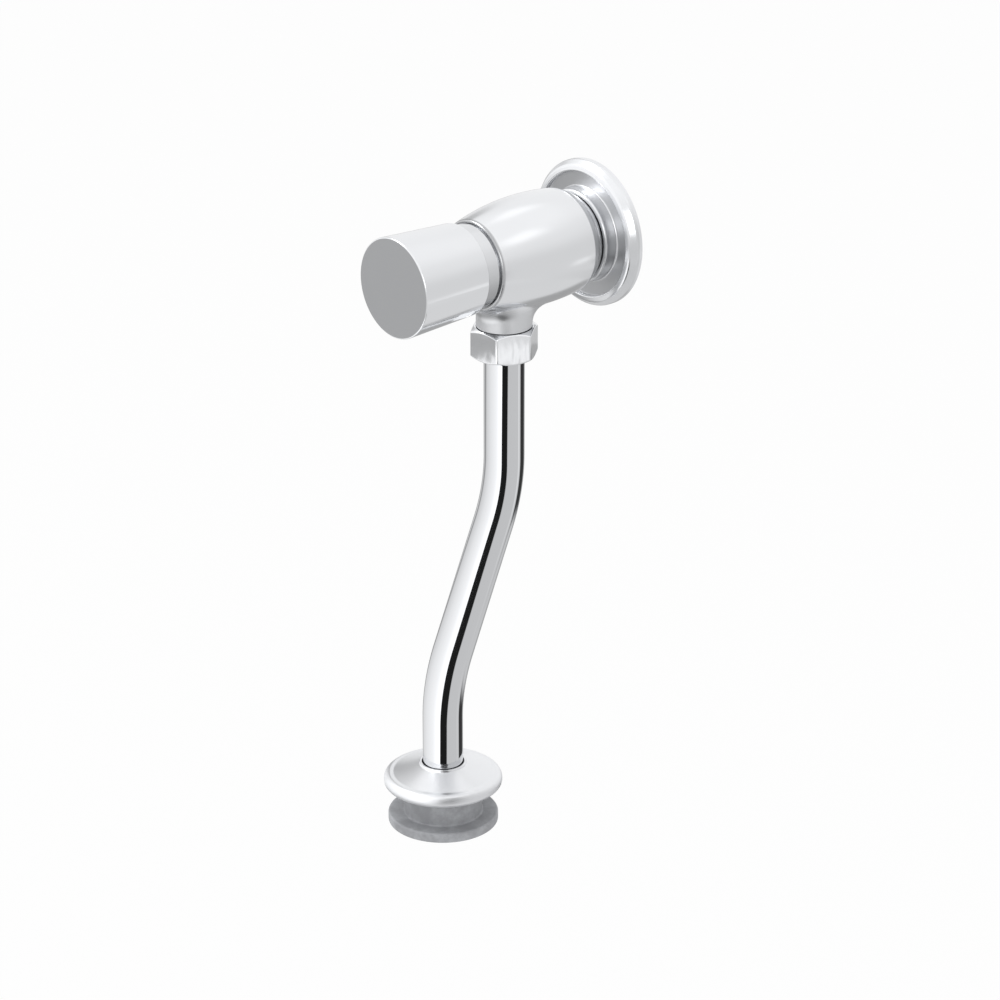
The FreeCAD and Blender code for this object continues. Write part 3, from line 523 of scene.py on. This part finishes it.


# The casting is less polished, so rougher, on neck and front rim. Painted shade darkens its colour on the
# neck, the front rim, the corner under the barrel and behind its shoulder, where it grows downwards. Each
# mask is a smooth step over the height or the depth between two places in millimetres.
castDullingAndShade = dict(neckDull=0.2, neckDark=0.18, rimDull=0.1, rimDark=0.45, cornerDark=0.4, shoulderDark=0.1,
                shoulderDarker=0.25)


def castDullingAndPaintedShade(bench, x, y, z):
    tone = castDullingAndShade
    neck, rim = bench.step(z, -17, -21), bench.step(y, -59.7, -60.5)
    corner = bench.step(z, -16, -18.5) * (1 - bench.step(z, -21, -23.5)) * bench.step(y, -46, -54)
    shoulder = bench.step(y, -17.0, -16.5)
    # painted shade behind the shoulder, stronger downwards
    downwards = tone["shoulderDark"] + bench.step(z, 17, 3) * tone["shoulderDarker"]
    dull = neck * tone["neckDull"] + rim * tone["rimDull"]
    dark = neck * tone["neckDark"] + corner * tone["cornerDark"] + rim * tone["rimDark"]
    return dull, dark + shoulder * downwards


# The rear shoulder leaves the barrel on a crisp edge, at a slope of its own, and bows to the rear face:
# the arc through both ends whose first ray stands across that slope.
def shoulderArc():
    b = barrel
    start = np.array([barrelRadius(b["shoulder"]), b["shoulder"]])
    end = np.array([b["rearRadius"], b["rear"]])
    inward = np.array([-math.sqrt(1 - b["kink"] ** 2), b["kink"]])  # towards the arc's centre
    chord = end - start
    size = chord @ chord / (2 * chord @ inward)
    centre = start + inward * size
    first = math.atan2(*(start - centre)[::-1])
    last = math.atan2(*(end - centre)[::-1])
    angle = np.linspace(first, last, skinGrid["shoulderRows"])
    ray = np.stack([np.cos(angle), np.sin(angle)], 1)
    return centre + ray * size, ray


# Inlet tail: plain shank, then a pipe thread whose radius is a rounded wave of turn and depth.
tail = dict(shank=10.0, shankStart=10.15, shankEnd=0.6, crest=10.48, rise=0.3, deep=1.1, pitch=1.814,
            flank=2.5, land=0.12, runOut=1.6, end=-14.0, lead=0.8, bore=7.6, boreEnd=7.2, water=7.0,
            ways=144, rows=190)


def inletTail():
    s = tail
    angle = np.linspace(0, 2 * math.pi, s["ways"] + 1)[None, :]
    depth = np.linspace(s["shankEnd"], s["end"], s["rows"])[:, None]

    def radiusAt(depth, angle):
        wave = (depth / s["pitch"] + angle / (2 * math.pi)) % 1
        tooth = np.clip(np.abs(wave - 0.5) * s["flank"] - s["land"], 0, 1)
        inwards = np.clip((s["shankEnd"] - depth) / s["runOut"], 0, 1) * (tooth * tooth * (3 - 2 * tooth))
        cut = np.maximum(s["lead"] - (depth - s["end"]), 0)
        growth = np.clip((s["shankEnd"] - depth) / s["rise"], 0, 1)
        plain = s["shank"] + (s["crest"] - s["shank"]) * growth
        return np.minimum(plain - s["deep"] * inwards, s["crest"] - cut)

    # the normals come from the slopes of the radius along the depth and round the axis
    radius = radiusAt(depth, angle)
    steep = (radiusAt(depth + nudge, angle) - radiusAt(depth - nudge, angle)) / (2 * nudge)
    across = (radiusAt(depth, angle + nudge) - radiusAt(depth, angle - nudge)) / (2 * nudge) / radius
    ray = levelTurn(1.0, 0, angle)
    side = np.stack([-np.sin(angle), 0 * angle, np.cos(angle)], -1)
    normal = ray - side * across[..., None] + np.stack([0 * radius, steep, 0 * radius], -1)
    normal /= np.linalg.norm(normal, axis=-1, keepdims=True)
    skin = levelTurn(radius, depth, angle)
    patches = [(skin, normal)]
    shank = outline([(s["water"], s["shankStart"]), (s["shank"], s["shankStart"]),
                     (s["shank"], s["shankEnd"])], False)
    patches += turnedPatches(shank, levelTurn, ways=s["ways"])
    mouth = np.stack([skin[-1], levelTurn(s["bore"], s["end"], angle[0])])
    patches.append((mouth, np.zeros_like(mouth) + [0, 1, 0]))
    bore = outline([(s["bore"], s["end"]), (s["bore"], s["boreEnd"]), (s["water"], s["boreEnd"]),
                    (s["water"], s["shankStart"])], False)
    patches += turnedPatches([(p, -n) for p, n in bore], levelTurn, ways=s["ways"])
    return weldedPiece("inletTail", patches, finish["body"], "valve")


# Wall flange: a rolled rim on the wall, a step down to a flat matt dish and a ring behind the body. The
# outline of the pressed sheet, front and back, is turned about the valve's axis.
flange = dict(hub=18.8, hubWidth=2.2, hubFront=9.5, bore=11.0, web=8.3, dish=3.6, step=24.7, lean=0.5,
              crest=5.5, fold=27.4, foldFront=5.0, rim=29.4, rimFront=2.4, sheet=1.2)


def wallFlange():
    f = flange
    thin, hubIn, crest = f["sheet"], f["hub"] - f["hubWidth"], f["step"] + f["lean"]
    front = [(f["bore"], f["web"]), (hubIn, f["web"]), (hubIn, f["hubFront"], 0.5),
             (f["hub"], f["hubFront"], 0.9), (f["hub"], f["dish"], 0.8), (f["step"], f["dish"], 0.25),
             (crest, f["crest"], 0.5), (f["fold"], f["foldFront"], 2.2), (f["rim"], f["rimFront"], 1.2),
             (f["rim"], 0, 0.1)]
    back = [(f["rim"] - thin, 0, 0.1), (f["rim"] - thin, f["rimFront"] - 0.7, 0.6),
            (f["fold"] - 0.6, f["foldFront"] - 1.3, 0.8), (crest + 1.1, f["crest"] - 1.4, 0.2),
            (f["step"] + thin, f["dish"] - thin, 0.2), (f["hub"] - thin, f["dish"] - thin, 0.4),
            (f["hub"] - thin, f["web"] - thin, 0.5), (f["bore"], f["web"] - thin)]
    runs = outline(front + back)
    return weldedPiece("wallFlange", turnedPatches(runs, levelTurn, ways=320), finish["flange"], "valve",
                       ["wall_flange"])


# Dish, ring and rim are told apart by their distance from the axis. The dish is duller all over and darkened
# by painted shade, and painted shade darkens ring and rim downwards.
flangeDullingAndShade = dict(dishDull=0.14, dishDark=0.34, ringDark=0.34, rimDark=0.14)


def flangeDullingAndPaintedShade(bench, x, y, z):
    tone, hub, step = flangeDullingAndShade, flange["hub"], flange["step"]
    reach = (x * x + z * z) ** 0.5
    front = bench.step(y, -2.8, -3.2)
    dish = bench.step(reach, hub + 0.1, hub + 0.5) * (1 - bench.step(reach, step - 0.1, step + 0.4)) * front
    ring = (1 - bench.step(reach, hub - 0.1, hub + 0.3)) * bench.step(z, 19, 2) * front
    rim = bench.step(reach, step + 0.2, step + 0.7) * bench.step(z, 20, 4) * bench.step(y, -1.0, -1.6)
    dark = dish * tone["dishDark"] + ring * tone["ringDark"] + rim * tone["rimDark"]
    return dish * tone["dishDull"], dark


# Cover plate on the spud: a spun cone with a raised lip round its hole, a shallow flute and a rolled
# rim, its outline turned about the tube's foot.
cover = dict(depth=77.4, hole=8.45, top=-206.15, lip=0.5, lipWidth=0.8, lipFoot=1.3, flute=19.8,
             fluteDeep=0.12, edgeRadius=21.6, edge=-210.7, bead=0.35, radius=25.1, roll=2.92, widest=0.58,
             foot=-214.6, rimIn=1.7, sheet=1.0)


# The rolled rim is a little duller than the cone.
coverTone = dict(dull=0.2, dark=0.04)


def coverRim(bench, x, y, z):
    depth = y + cover["depth"]
    rim = bench.step((x * x + depth * depth) ** 0.5, 22.2, 23.6)
    return rim * coverTone["dull"], rim * coverTone["dark"]


def coverPlate():
    c = cover
    slope = (c["top"] - c["edge"]) / (c["edgeRadius"] - c["hole"])
    drop = c["sheet"] * math.hypot(1, slope)
    widest = c["foot"] + (c["edge"] - c["foot"]) * c["widest"]
    lipFoot = c["lipFoot"] * c["lipWidth"]
    footRadius, innerHole = c["radius"] - c["rimIn"], c["hole"] + c["sheet"]
    runs = outline([
        (c["hole"], c["top"] - drop), (c["hole"], c["top"] + c["lip"], 0.2),
        (c["hole"] + c["lipWidth"], c["top"] + c["lip"], 0.3),
        (c["hole"] + lipFoot, c["top"] - lipFoot * slope, 0.5),
        (c["flute"], c["top"] - (c["flute"] - c["hole"]) * slope - c["fluteDeep"], 2.2),
        (c["edgeRadius"], c["edge"] + c["bead"], 2.2), (c["radius"], widest, c["roll"]),
        (footRadius, c["foot"], 0.3), (footRadius - c["sheet"], c["foot"], 0.2),
        (c["radius"] - 1.4 * c["sheet"], widest, 1.0),
        (c["edgeRadius"] - c["sheet"] * slope / 2, c["edge"] - drop, 2.0),
        (innerHole, c["top"] - drop - (innerHole - c["hole"]) * slope)])
    return weldedPiece("coverPlate", turnedPatches(runs, uprightTurn, c["depth"], 320), finish["cover"],
                       "rosette", ["spud_rosette"])


# Rubber spud: foot flange, neck and an upper lip under the cover plate, with a wider room inside between
# two seats for the tube; its outline is turned about the tube's foot.
spud = dict(depth=77.4, foot=-231.6, flange=22.0, thick=4.2, edge=0.9, neck=15.5, neckTop=-214.3, lip=17.5,
            lipTop=-210.8, bore=8.05, seat=1.3, relief=2.2)


def rubberSpud():
    s = spud
    top = s["foot"] + s["thick"]
    wide, seat = s["bore"] + s["relief"], s["neckTop"] - s["seat"]
    runs = outline([
        (s["bore"], s["foot"], 0.3), (s["flange"], s["foot"], s["edge"]), (s["flange"], top, s["edge"]),
        (s["neck"], top, 0.8), (s["neck"], s["neckTop"], 0.4), (s["lip"], s["neckTop"], 0.3),
        (s["lip"], s["lipTop"], 0.6), (s["bore"], s["lipTop"], 0.3), (s["bore"], seat),
        (wide, seat - s["relief"]), (wide, top + s["relief"]), (s["bore"], top)])
    return weldedPiece("rubberSpud", turnedPatches(runs, uprightTurn, s["depth"]), finish["grey_rubber"],
                       "valve", ["spud_grommet"])


# Flush tube: a circle carried along straight runs and bends, outside and inside, closed at both ends.
tube = dict(radius=8.0, wall=1.0, bend=70.0, tilt=23.1, topDepth=45.2, footDepth=77.4, top=-37.305,
            upper=-96.4, foot=-230.4, bendRows=33, ways=192)


def flushTube():
    t = tube
    tilt = math.radians(t["tilt"])
    lower = t["upper"] - (t["footDepth"] - t["topDepth"]) / math.tan(tilt)
    reach = t["bend"] * math.tan(tilt / 2)
    tips = [(t["topDepth"], t["top"]), (t["topDepth"], t["upper"] + reach),
            (t["footDepth"] - reach * math.sin(tilt), lower + reach * math.cos(tilt)),
            (t["footDepth"], lower - reach), (t["footDepth"], t["foot"])]
    bowOut = np.linspace(0, tilt, t["bendRows"])[1:]
    bowIn = np.linspace(tilt, 0, t["bendRows"])[1:]
    lean = np.concatenate([[0, 0], bowOut, [tilt], bowIn, [0]])
    depth = np.concatenate([[tips[0][0], tips[1][0]], tips[1][0] + t["bend"] * (1 - np.cos(bowOut)),
                            [tips[2][0]], tips[3][0] - t["bend"] * (1 - np.cos(bowIn)), [tips[4][0]]])
    height = np.concatenate([[tips[0][1], tips[1][1]], tips[1][1] - t["bend"] * np.sin(bowOut),
                             [tips[2][1]], tips[3][1] + t["bend"] * np.sin(bowIn), [tips[4][1]]])
    angle = np.linspace(0, 2 * math.pi, t["ways"] + 1)[None, :]
    lean = lean[:, None]
    ray = np.stack([np.cos(angle) + 0 * lean, -np.sin(angle) * np.cos(lean),
                    np.sin(angle) * np.sin(lean)], -1)
    line = np.stack([0 * depth, -depth, height], -1)[:, None, :]
    outer, inner = line + ray * t["radius"], line + ray * (t["radius"] - t["wall"])
    down = np.zeros_like(ray[:2]) + [0, 0, -1]
    patches = [(outer, ray), (inner, -ray), (np.stack([outer[0], inner[0]]), -down),
               (np.stack([outer[-1], inner[-1]]), down)]
    return weldedPiece("flushTube", patches, finish["tube"], "valve", ["down_tube"])


# Union nut: radius is the softened least of a hexagon's reach and the two corner chamfers. Its rows lie
# closer in a band at each end, and a flat ring of its own closes each end.
nut = dict(depth=45.2, flats=24.0, top=-28.2, foot=-40.6, turn=7.0, chamfer=1.3, low=0.3, soft=0.7,
           bore=10.45, collar=-38.7, tubeHole=8.15, ring=1.2, band=2.4, bandRows=33, midRows=8, ways=720)


def unionNut():
    n = nut
    flat, corner = n["flats"] / 2, n["flats"] / math.sqrt(3)
    edge, ringRadius = flat - n["low"], flat - n["ring"]
    rise = n["chamfer"] / (corner - edge)

    def least(a, b):
        apart = np.clip(0.5 + 0.5 * (b - a) / n["soft"], 0, 1)
        return b + (a - b) * apart - n["soft"] * apart * (1 - apart)

    def skin(angle, height):
        turned = angle - math.radians(n["turn"])
        wrapped = (turned + math.pi / 6) % (math.pi / 3) - math.pi / 6
        sides = [flat / np.cos(wrapped + way * math.pi / 6) for way in (-1, 1)]
        reach = least(*sides)
        reach = least(reach, edge + (height - n["foot"]) / rise)
        reach = least(reach, edge + (n["top"] - height) / rise)
        return uprightTurn(reach, height, angle)

    angle = np.linspace(0, 2 * math.pi, n["ways"] + 1)[None, :]
    tall, band = n["top"] - n["foot"], np.linspace(0, n["band"], n["bandRows"])
    middle = np.linspace(n["band"], tall - n["band"], n["midRows"])[1:-1]
    height = np.concatenate([band, middle, tall - band[::-1]])[:, None] + n["foot"]
    points = skin(angle, height)
    across = skin(angle + nudge, height) - skin(angle - nudge, height)
    upward = skin(angle, height + nudge) - skin(angle, height - nudge)
    normal = np.cross(across, upward)
    normal /= np.linalg.norm(normal, axis=-1, keepdims=True)
    patches = [(points - [0, n["depth"], 0], normal)]
    inside = outline([
        (ringRadius, n["foot"]), (n["tubeHole"], n["foot"], 0.3), (n["tubeHole"], n["collar"]),
        (n["bore"], n["collar"]), (n["bore"], n["top"], 0.6), (ringRadius, n["top"])], False)
    patches += turnedPatches(inside, uprightTurn, n["depth"], n["ways"])
    for row, level, way in ((0, n["foot"], -1), (-1, n["top"], 1)):
        ring = np.stack([points[row], uprightTurn(ringRadius, level, angle[0])]) - [0, n["depth"], 0]
        patches.append((ring, np.zeros_like(ring) + [0, 0, way]))
    return weldedPiece("unionNut", patches, finish["nut"], "valve", ["union_nut"])


# Springs: a round wire whose middle climbs a helix between its seats; a ring of points is carried along it.
coilGrid = dict(stepsPerTurn=64, ways=20)
springs = {
    "mainSpring": dict(node="main_spring", coil=9.3, wire=0.6, turns=4, seat=26.2, joint="piston_stroke"),
    "buttonSpring": dict(node="button_spring", coil=8.0, wire=0.5, turns=3, seat=85.0, joint="button_press")}


def woundSpring(name):
    s = springs[name]
    low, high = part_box(s["node"])
    near, far = -high[1] / mm, -low[1] / mm
    turn = np.linspace(0, 2 * math.pi * s["turns"], coilGrid["stepsPerTurn"] * s["turns"] + 1)[:, None]
    climb = (far - near - 2 * s["wire"]) / turn[-1, 0]
    ray = levelTurn(1.0, 0, turn)
    heading = np.stack([-s["coil"] * np.sin(turn), 0 * turn - climb, s["coil"] * np.cos(turn)], -1)
    heading /= np.linalg.norm(heading, axis=-1, keepdims=True)
    around = np.linspace(0, 2 * math.pi, coilGrid["ways"] + 1)[None, :, None]
    normal = ray * np.cos(around) + np.cross(heading, ray) * np.sin(around)
    middle = levelTurn(s["coil"], near + s["wire"] + climb * turn, turn)
    skin = middle + normal * s["wire"]
    patches = [(skin, normal)]
    for end, way in ((0, -1), (-1, 1)):
        cap = np.stack([skin[end], middle[end] + 0 * skin[end]])
        patches.append((cap, way * heading[end] + 0 * cap))
    piece = weldedPiece(name, patches, finish["spring_steel"], "valve", [s["node"]])
    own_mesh(piece)


# Each outer piece has plating of its own: the stretch follows its polishing marks, and gloss is added to
# the roughness. The nut is cast and filed, so its flats ripple strongly.
# The tube's shade darkens its whole tone: painted shade, standing in for its darker reflections.
finish["tube"] = platedMetal("tubePlating", stretch=(1, 1, 0.15), ripple=0.35, gloss=-0.06, shade=0.82)
finish["body"] = platedMetal("bodyPlating", stretch=(1, 0.4, 1), ripple=0.6, gloss=0.05, dullingAndDarkening=castDullingAndPaintedShade)
# The sleeve's shade darkens its whole tone: painted shade of its recess between button and body.
finish["sleeve"] = platedMetal("sleevePlating", stretch=(1, 3, 1), ripple=0.5, gloss=0.02, shade=0.9,
                               dullingAndDarkening=sleeveShade)
finish["flange"] = platedMetal("flangePlating", ripple=1.0, gloss=0.10, dullingAndDarkening=flangeDullingAndPaintedShade)
finish["cover"] = platedMetal("coverPlating", ripple=0.6, gloss=0.19, dullingAndDarkening=coverRim)
finish["button"] = platedMetal("buttonPlating", stretch=(1, 0.4, 1), ripple=0.4, gloss=0.03)
finish["nut"] = platedMetal("nutPlating", stretch=(2.8, 2.8, 0.8), ripple=18.0, gloss=0.01)
pushButton()
bonnetSleeve()
barrelBody()
inletTail()
wallFlange()
coverPlate()
rubberSpud()
flushTube()
unionNut()
for name in springs:
    woundSpring(name)
print("turned pieces made")


# Studio: a pale floor well below the valve, a white surround and two soft lamps. The floor shows nearly
# as the white surround does, and still takes a faint shadow.
studio = dict(floor=-0.75, reach=6.0, floorTone=0.8, floorGlow=0.93, surround=1.0, fill=0.9)


def paleFloor():
    made, bench = material("floor")
    seen, glossy, through = [bench.add("ShaderNodeLightPath", output="Is " + ray + " Ray")
                             for ray in ("Camera", "Glossy", "Transmission")]
    seen = bench.maths("MAXIMUM", bench.maths("MAXIMUM", seen, glossy), through)
    tone = studio["floorTone"]
    paint = bench.add("ShaderNodeBsdfDiffuse", None, {"Color": (tone, tone, tone, 1)})
    glow = bench.add("ShaderNodeEmission", None, {"Color": (1, 1, 1, 1), "Strength": 1.0})
    both = bench.add("ShaderNodeMixShader", None, {0: seen * studio["floorGlow"], 1: paint, 2: glow})
    bench.add("ShaderNodeOutputMaterial", None, {"Surface": both})
    mesh = bpy.data.meshes.new("floor")
    reach, level = studio["reach"], studio["floor"]
    corners = [(x * reach, y * reach, level) for x, y in ((-1, -1), (1, -1), (1, 1), (-1, 1))]
    mesh.from_pydata(corners, [], [(0, 1, 2, 3)])
    mesh.materials.append(made)
    floor = bpy.data.objects.new("floor", mesh)
    floor.visible_glossy = False
    bpy.context.scene.collection.objects.link(floor)


# What bright metal mirrors: a pale tone that brightens upwards, and soft-edged patches by direction.
# A patch is (azimuth from +X, half width, softness, lowest and highest elevation, softness, tone), in
# degrees; a later one lies over the ones before it.
sky = dict(low=0.75, middle=(0, 28, 0.14), high=(26, 52, 0.14))
mirrored = [
    (120, 26, 6, -60, -31, 4, 0.40),     # shaded wall under the valve
    (112, 34, 8, -14, 45, 8, 0.98),      # window side behind the valve
    (86, 22, 1.5, -29, -17, 1.5, 0.05),  # dark stand
    (51, 5, 1.5, -26, -19, 2, 0.97),     # light gap beside it
    (136, 29, 4, -34, -11, 4, 0.42),     # shaded wall behind it
    (-90, 26, 8, -62, -15, 4, 0.66),     # paler wall in front
    (160, 10, 5, 8, 30, 5, 0.50),        # grey screen behind, seen in the cover plate
    (-146, 36, 6, -62, -15, 4, 0.43),    # grey wall beside the camera
    (-122, 60, 18, -8, 62, 7, 1.12),     # bright wall above it
    (-6, 4.5, 3, -40, -8, 5, 1.08),      # window bars, seen in the nut
    (-17, 4, 3, -40, -8, 5, 0.62),
    (6, 3.5, 3, -40, -8, 5, 0.60),
    (30, 14, 7, 41, 55, 5, 1.22),        # ceiling lights
    (125, 12, 7, 50, 66, 6, 1.2)]


def whiteSurround():
    world = bpy.data.worlds.new("surround")
    bpy.context.scene.world = world
    bench = Bench(world)
    x, y, z = bench.parts(bench.add("ShaderNodeTexCoord", output="Generated"))
    azimuth = bench.maths("ARCTAN2", y, x) * math.degrees(1)
    rise = bench.maths("ARCSINE", z) * math.degrees(1)
    tone = sky["low"]
    for low, high, more in (sky["middle"], sky["high"]):
        tone = tone + bench.step(rise, low, high) * more
    for centre, half, soft, low, high, softUp, value in mirrored:
        away = bench.maths("ABSOLUTE", bench.maths("WRAP", azimuth - centre, 180.0, -180.0))
        mask = 1 - bench.step(away, half - soft, half + soft)
        mask = mask * bench.step(rise, low - softUp, low + softUp)
        mask = mask * (1 - bench.step(rise, high - softUp, high + softUp))
        tone = tone + (value - tone) * mask
    glossy = bench.add("ShaderNodeLightPath", output="Is Glossy Ray")
    camera = bench.add("ShaderNodeLightPath", output="Is Camera Ray")
    level = glossy * tone + (1 - glossy) * (camera * studio["surround"] + (1 - camera) * studio["fill"])
    light = bench.add("ShaderNodeBackground", None, {"Color": (1, 1, 1, 1), "Strength": level})
    bench.add("ShaderNodeOutputWorld", None, {"Surface": light})


# Bent cards round the tube, seen only as reflections. Each stands on a part of a circle round the middle
# of the tube and has a height at its top and foot and a tone at each azimuth (degrees from +X).
screen = dict(depth=61.0, radius=100.0, lean=0.10, start=-72.0, step=3.0, rows=12)
cards = {
    "tubeScreen": [(-176, -80, -250, 0.30), (-168, -80, -250, 0.45), (-160, -80, -250, 0.85),
                   (-118, -79, -250, 1.12), (-108, -69, -250, 1.16), (-80, -69, -250, 1.30),
                   (-58, -72, -250, 1.55), (-45, -76, -250, 1.6), (-43.5, -76, -250, 0.016),
                   (-12, -76, -250, 0.016), (-10, -76, -250, 0.62), (-8, -76, -250, 0.74),
                   (42, -74, -250, 0.75)],
    "neckScreen": [(-176, -52, -66, 0.60), (-90, -52, -66, 0.68), (-45, -50, -66, 0.74), (0, -48, -66, 0.80),
                   (60, -46, -66, 0.72), (100, -46, -66, 0.60), (116, -46, -66, 0.50)]}


def mirrorCard(name, stops):
    s = screen
    places, tops, feet, tones = np.array(stops).T
    azimuth = np.unique(np.concatenate([np.arange(places[0], places[-1], s["step"]), places]))
    top, foot = np.interp(azimuth, places, tops), np.interp(azimuth, places, feet)
    height = top + (foot - top) * np.linspace(0, 1, s["rows"])[:, None]
    angle = np.radians(azimuth + np.minimum(height - s["start"], 0) * s["lean"])
    points = (uprightTurn(s["radius"], height, angle) - [0, s["depth"], 0]) * mm
    made, bench = material(name)
    level = bench.add("ShaderNodeAttribute", dict(attribute_name="tone"), output=2)
    glow = bench.add("ShaderNodeEmission", None, {"Color": (1, 1, 1, 1), "Strength": level})
    bench.add("ShaderNodeOutputMaterial", None, {"Surface": glow})
    mesh = bpy.data.meshes.new(name)
    mesh.from_pydata(points.reshape(-1, 3).tolist(), [], gridFaces(*angle.shape).tolist())
    layer = mesh.attributes.new("tone", "FLOAT", "POINT")
    layer.data.foreach_set("value", np.tile(np.interp(azimuth, places, tones), len(height)))
    mesh.materials.append(made)
    card = bpy.data.objects.new(name, mesh)
    card.visible_camera = card.visible_diffuse = card.visible_shadow = card.visible_transmission = False
    bpy.context.scene.collection.objects.link(card)


# Soft lamps, all aimed at the valve: place and size in metres, power in watts.
lampAim = Vector((0, -0.05, -0.1))
lamps = {
    "keyLamp": dict(place=(-1.2, -1.0, 1.6), size=1.0, power=14),
    "fillLamp": dict(place=(1.6, -1.4, 0.6), size=1.0, power=5)}


def softLamp(name):
    data = bpy.data.lights.new(name, "AREA")
    data.shape, data.size, data.energy = "SQUARE", lamps[name]["size"], lamps[name]["power"]
    lamp = bpy.data.objects.new(name, data)
    lamp.location = lamps[name]["place"]
    lamp.rotation_mode = "QUATERNION"
    lamp.rotation_quaternion = (lampAim - lamp.location).to_track_quat("-Z", "Y")
    bpy.context.scene.collection.objects.link(lamp)


paleFloor()
for name, stops in cards.items():
    mirrorCard(name, stops)
whiteSurround()
for name in lamps:
    softLamp(name)
print("studio lit")
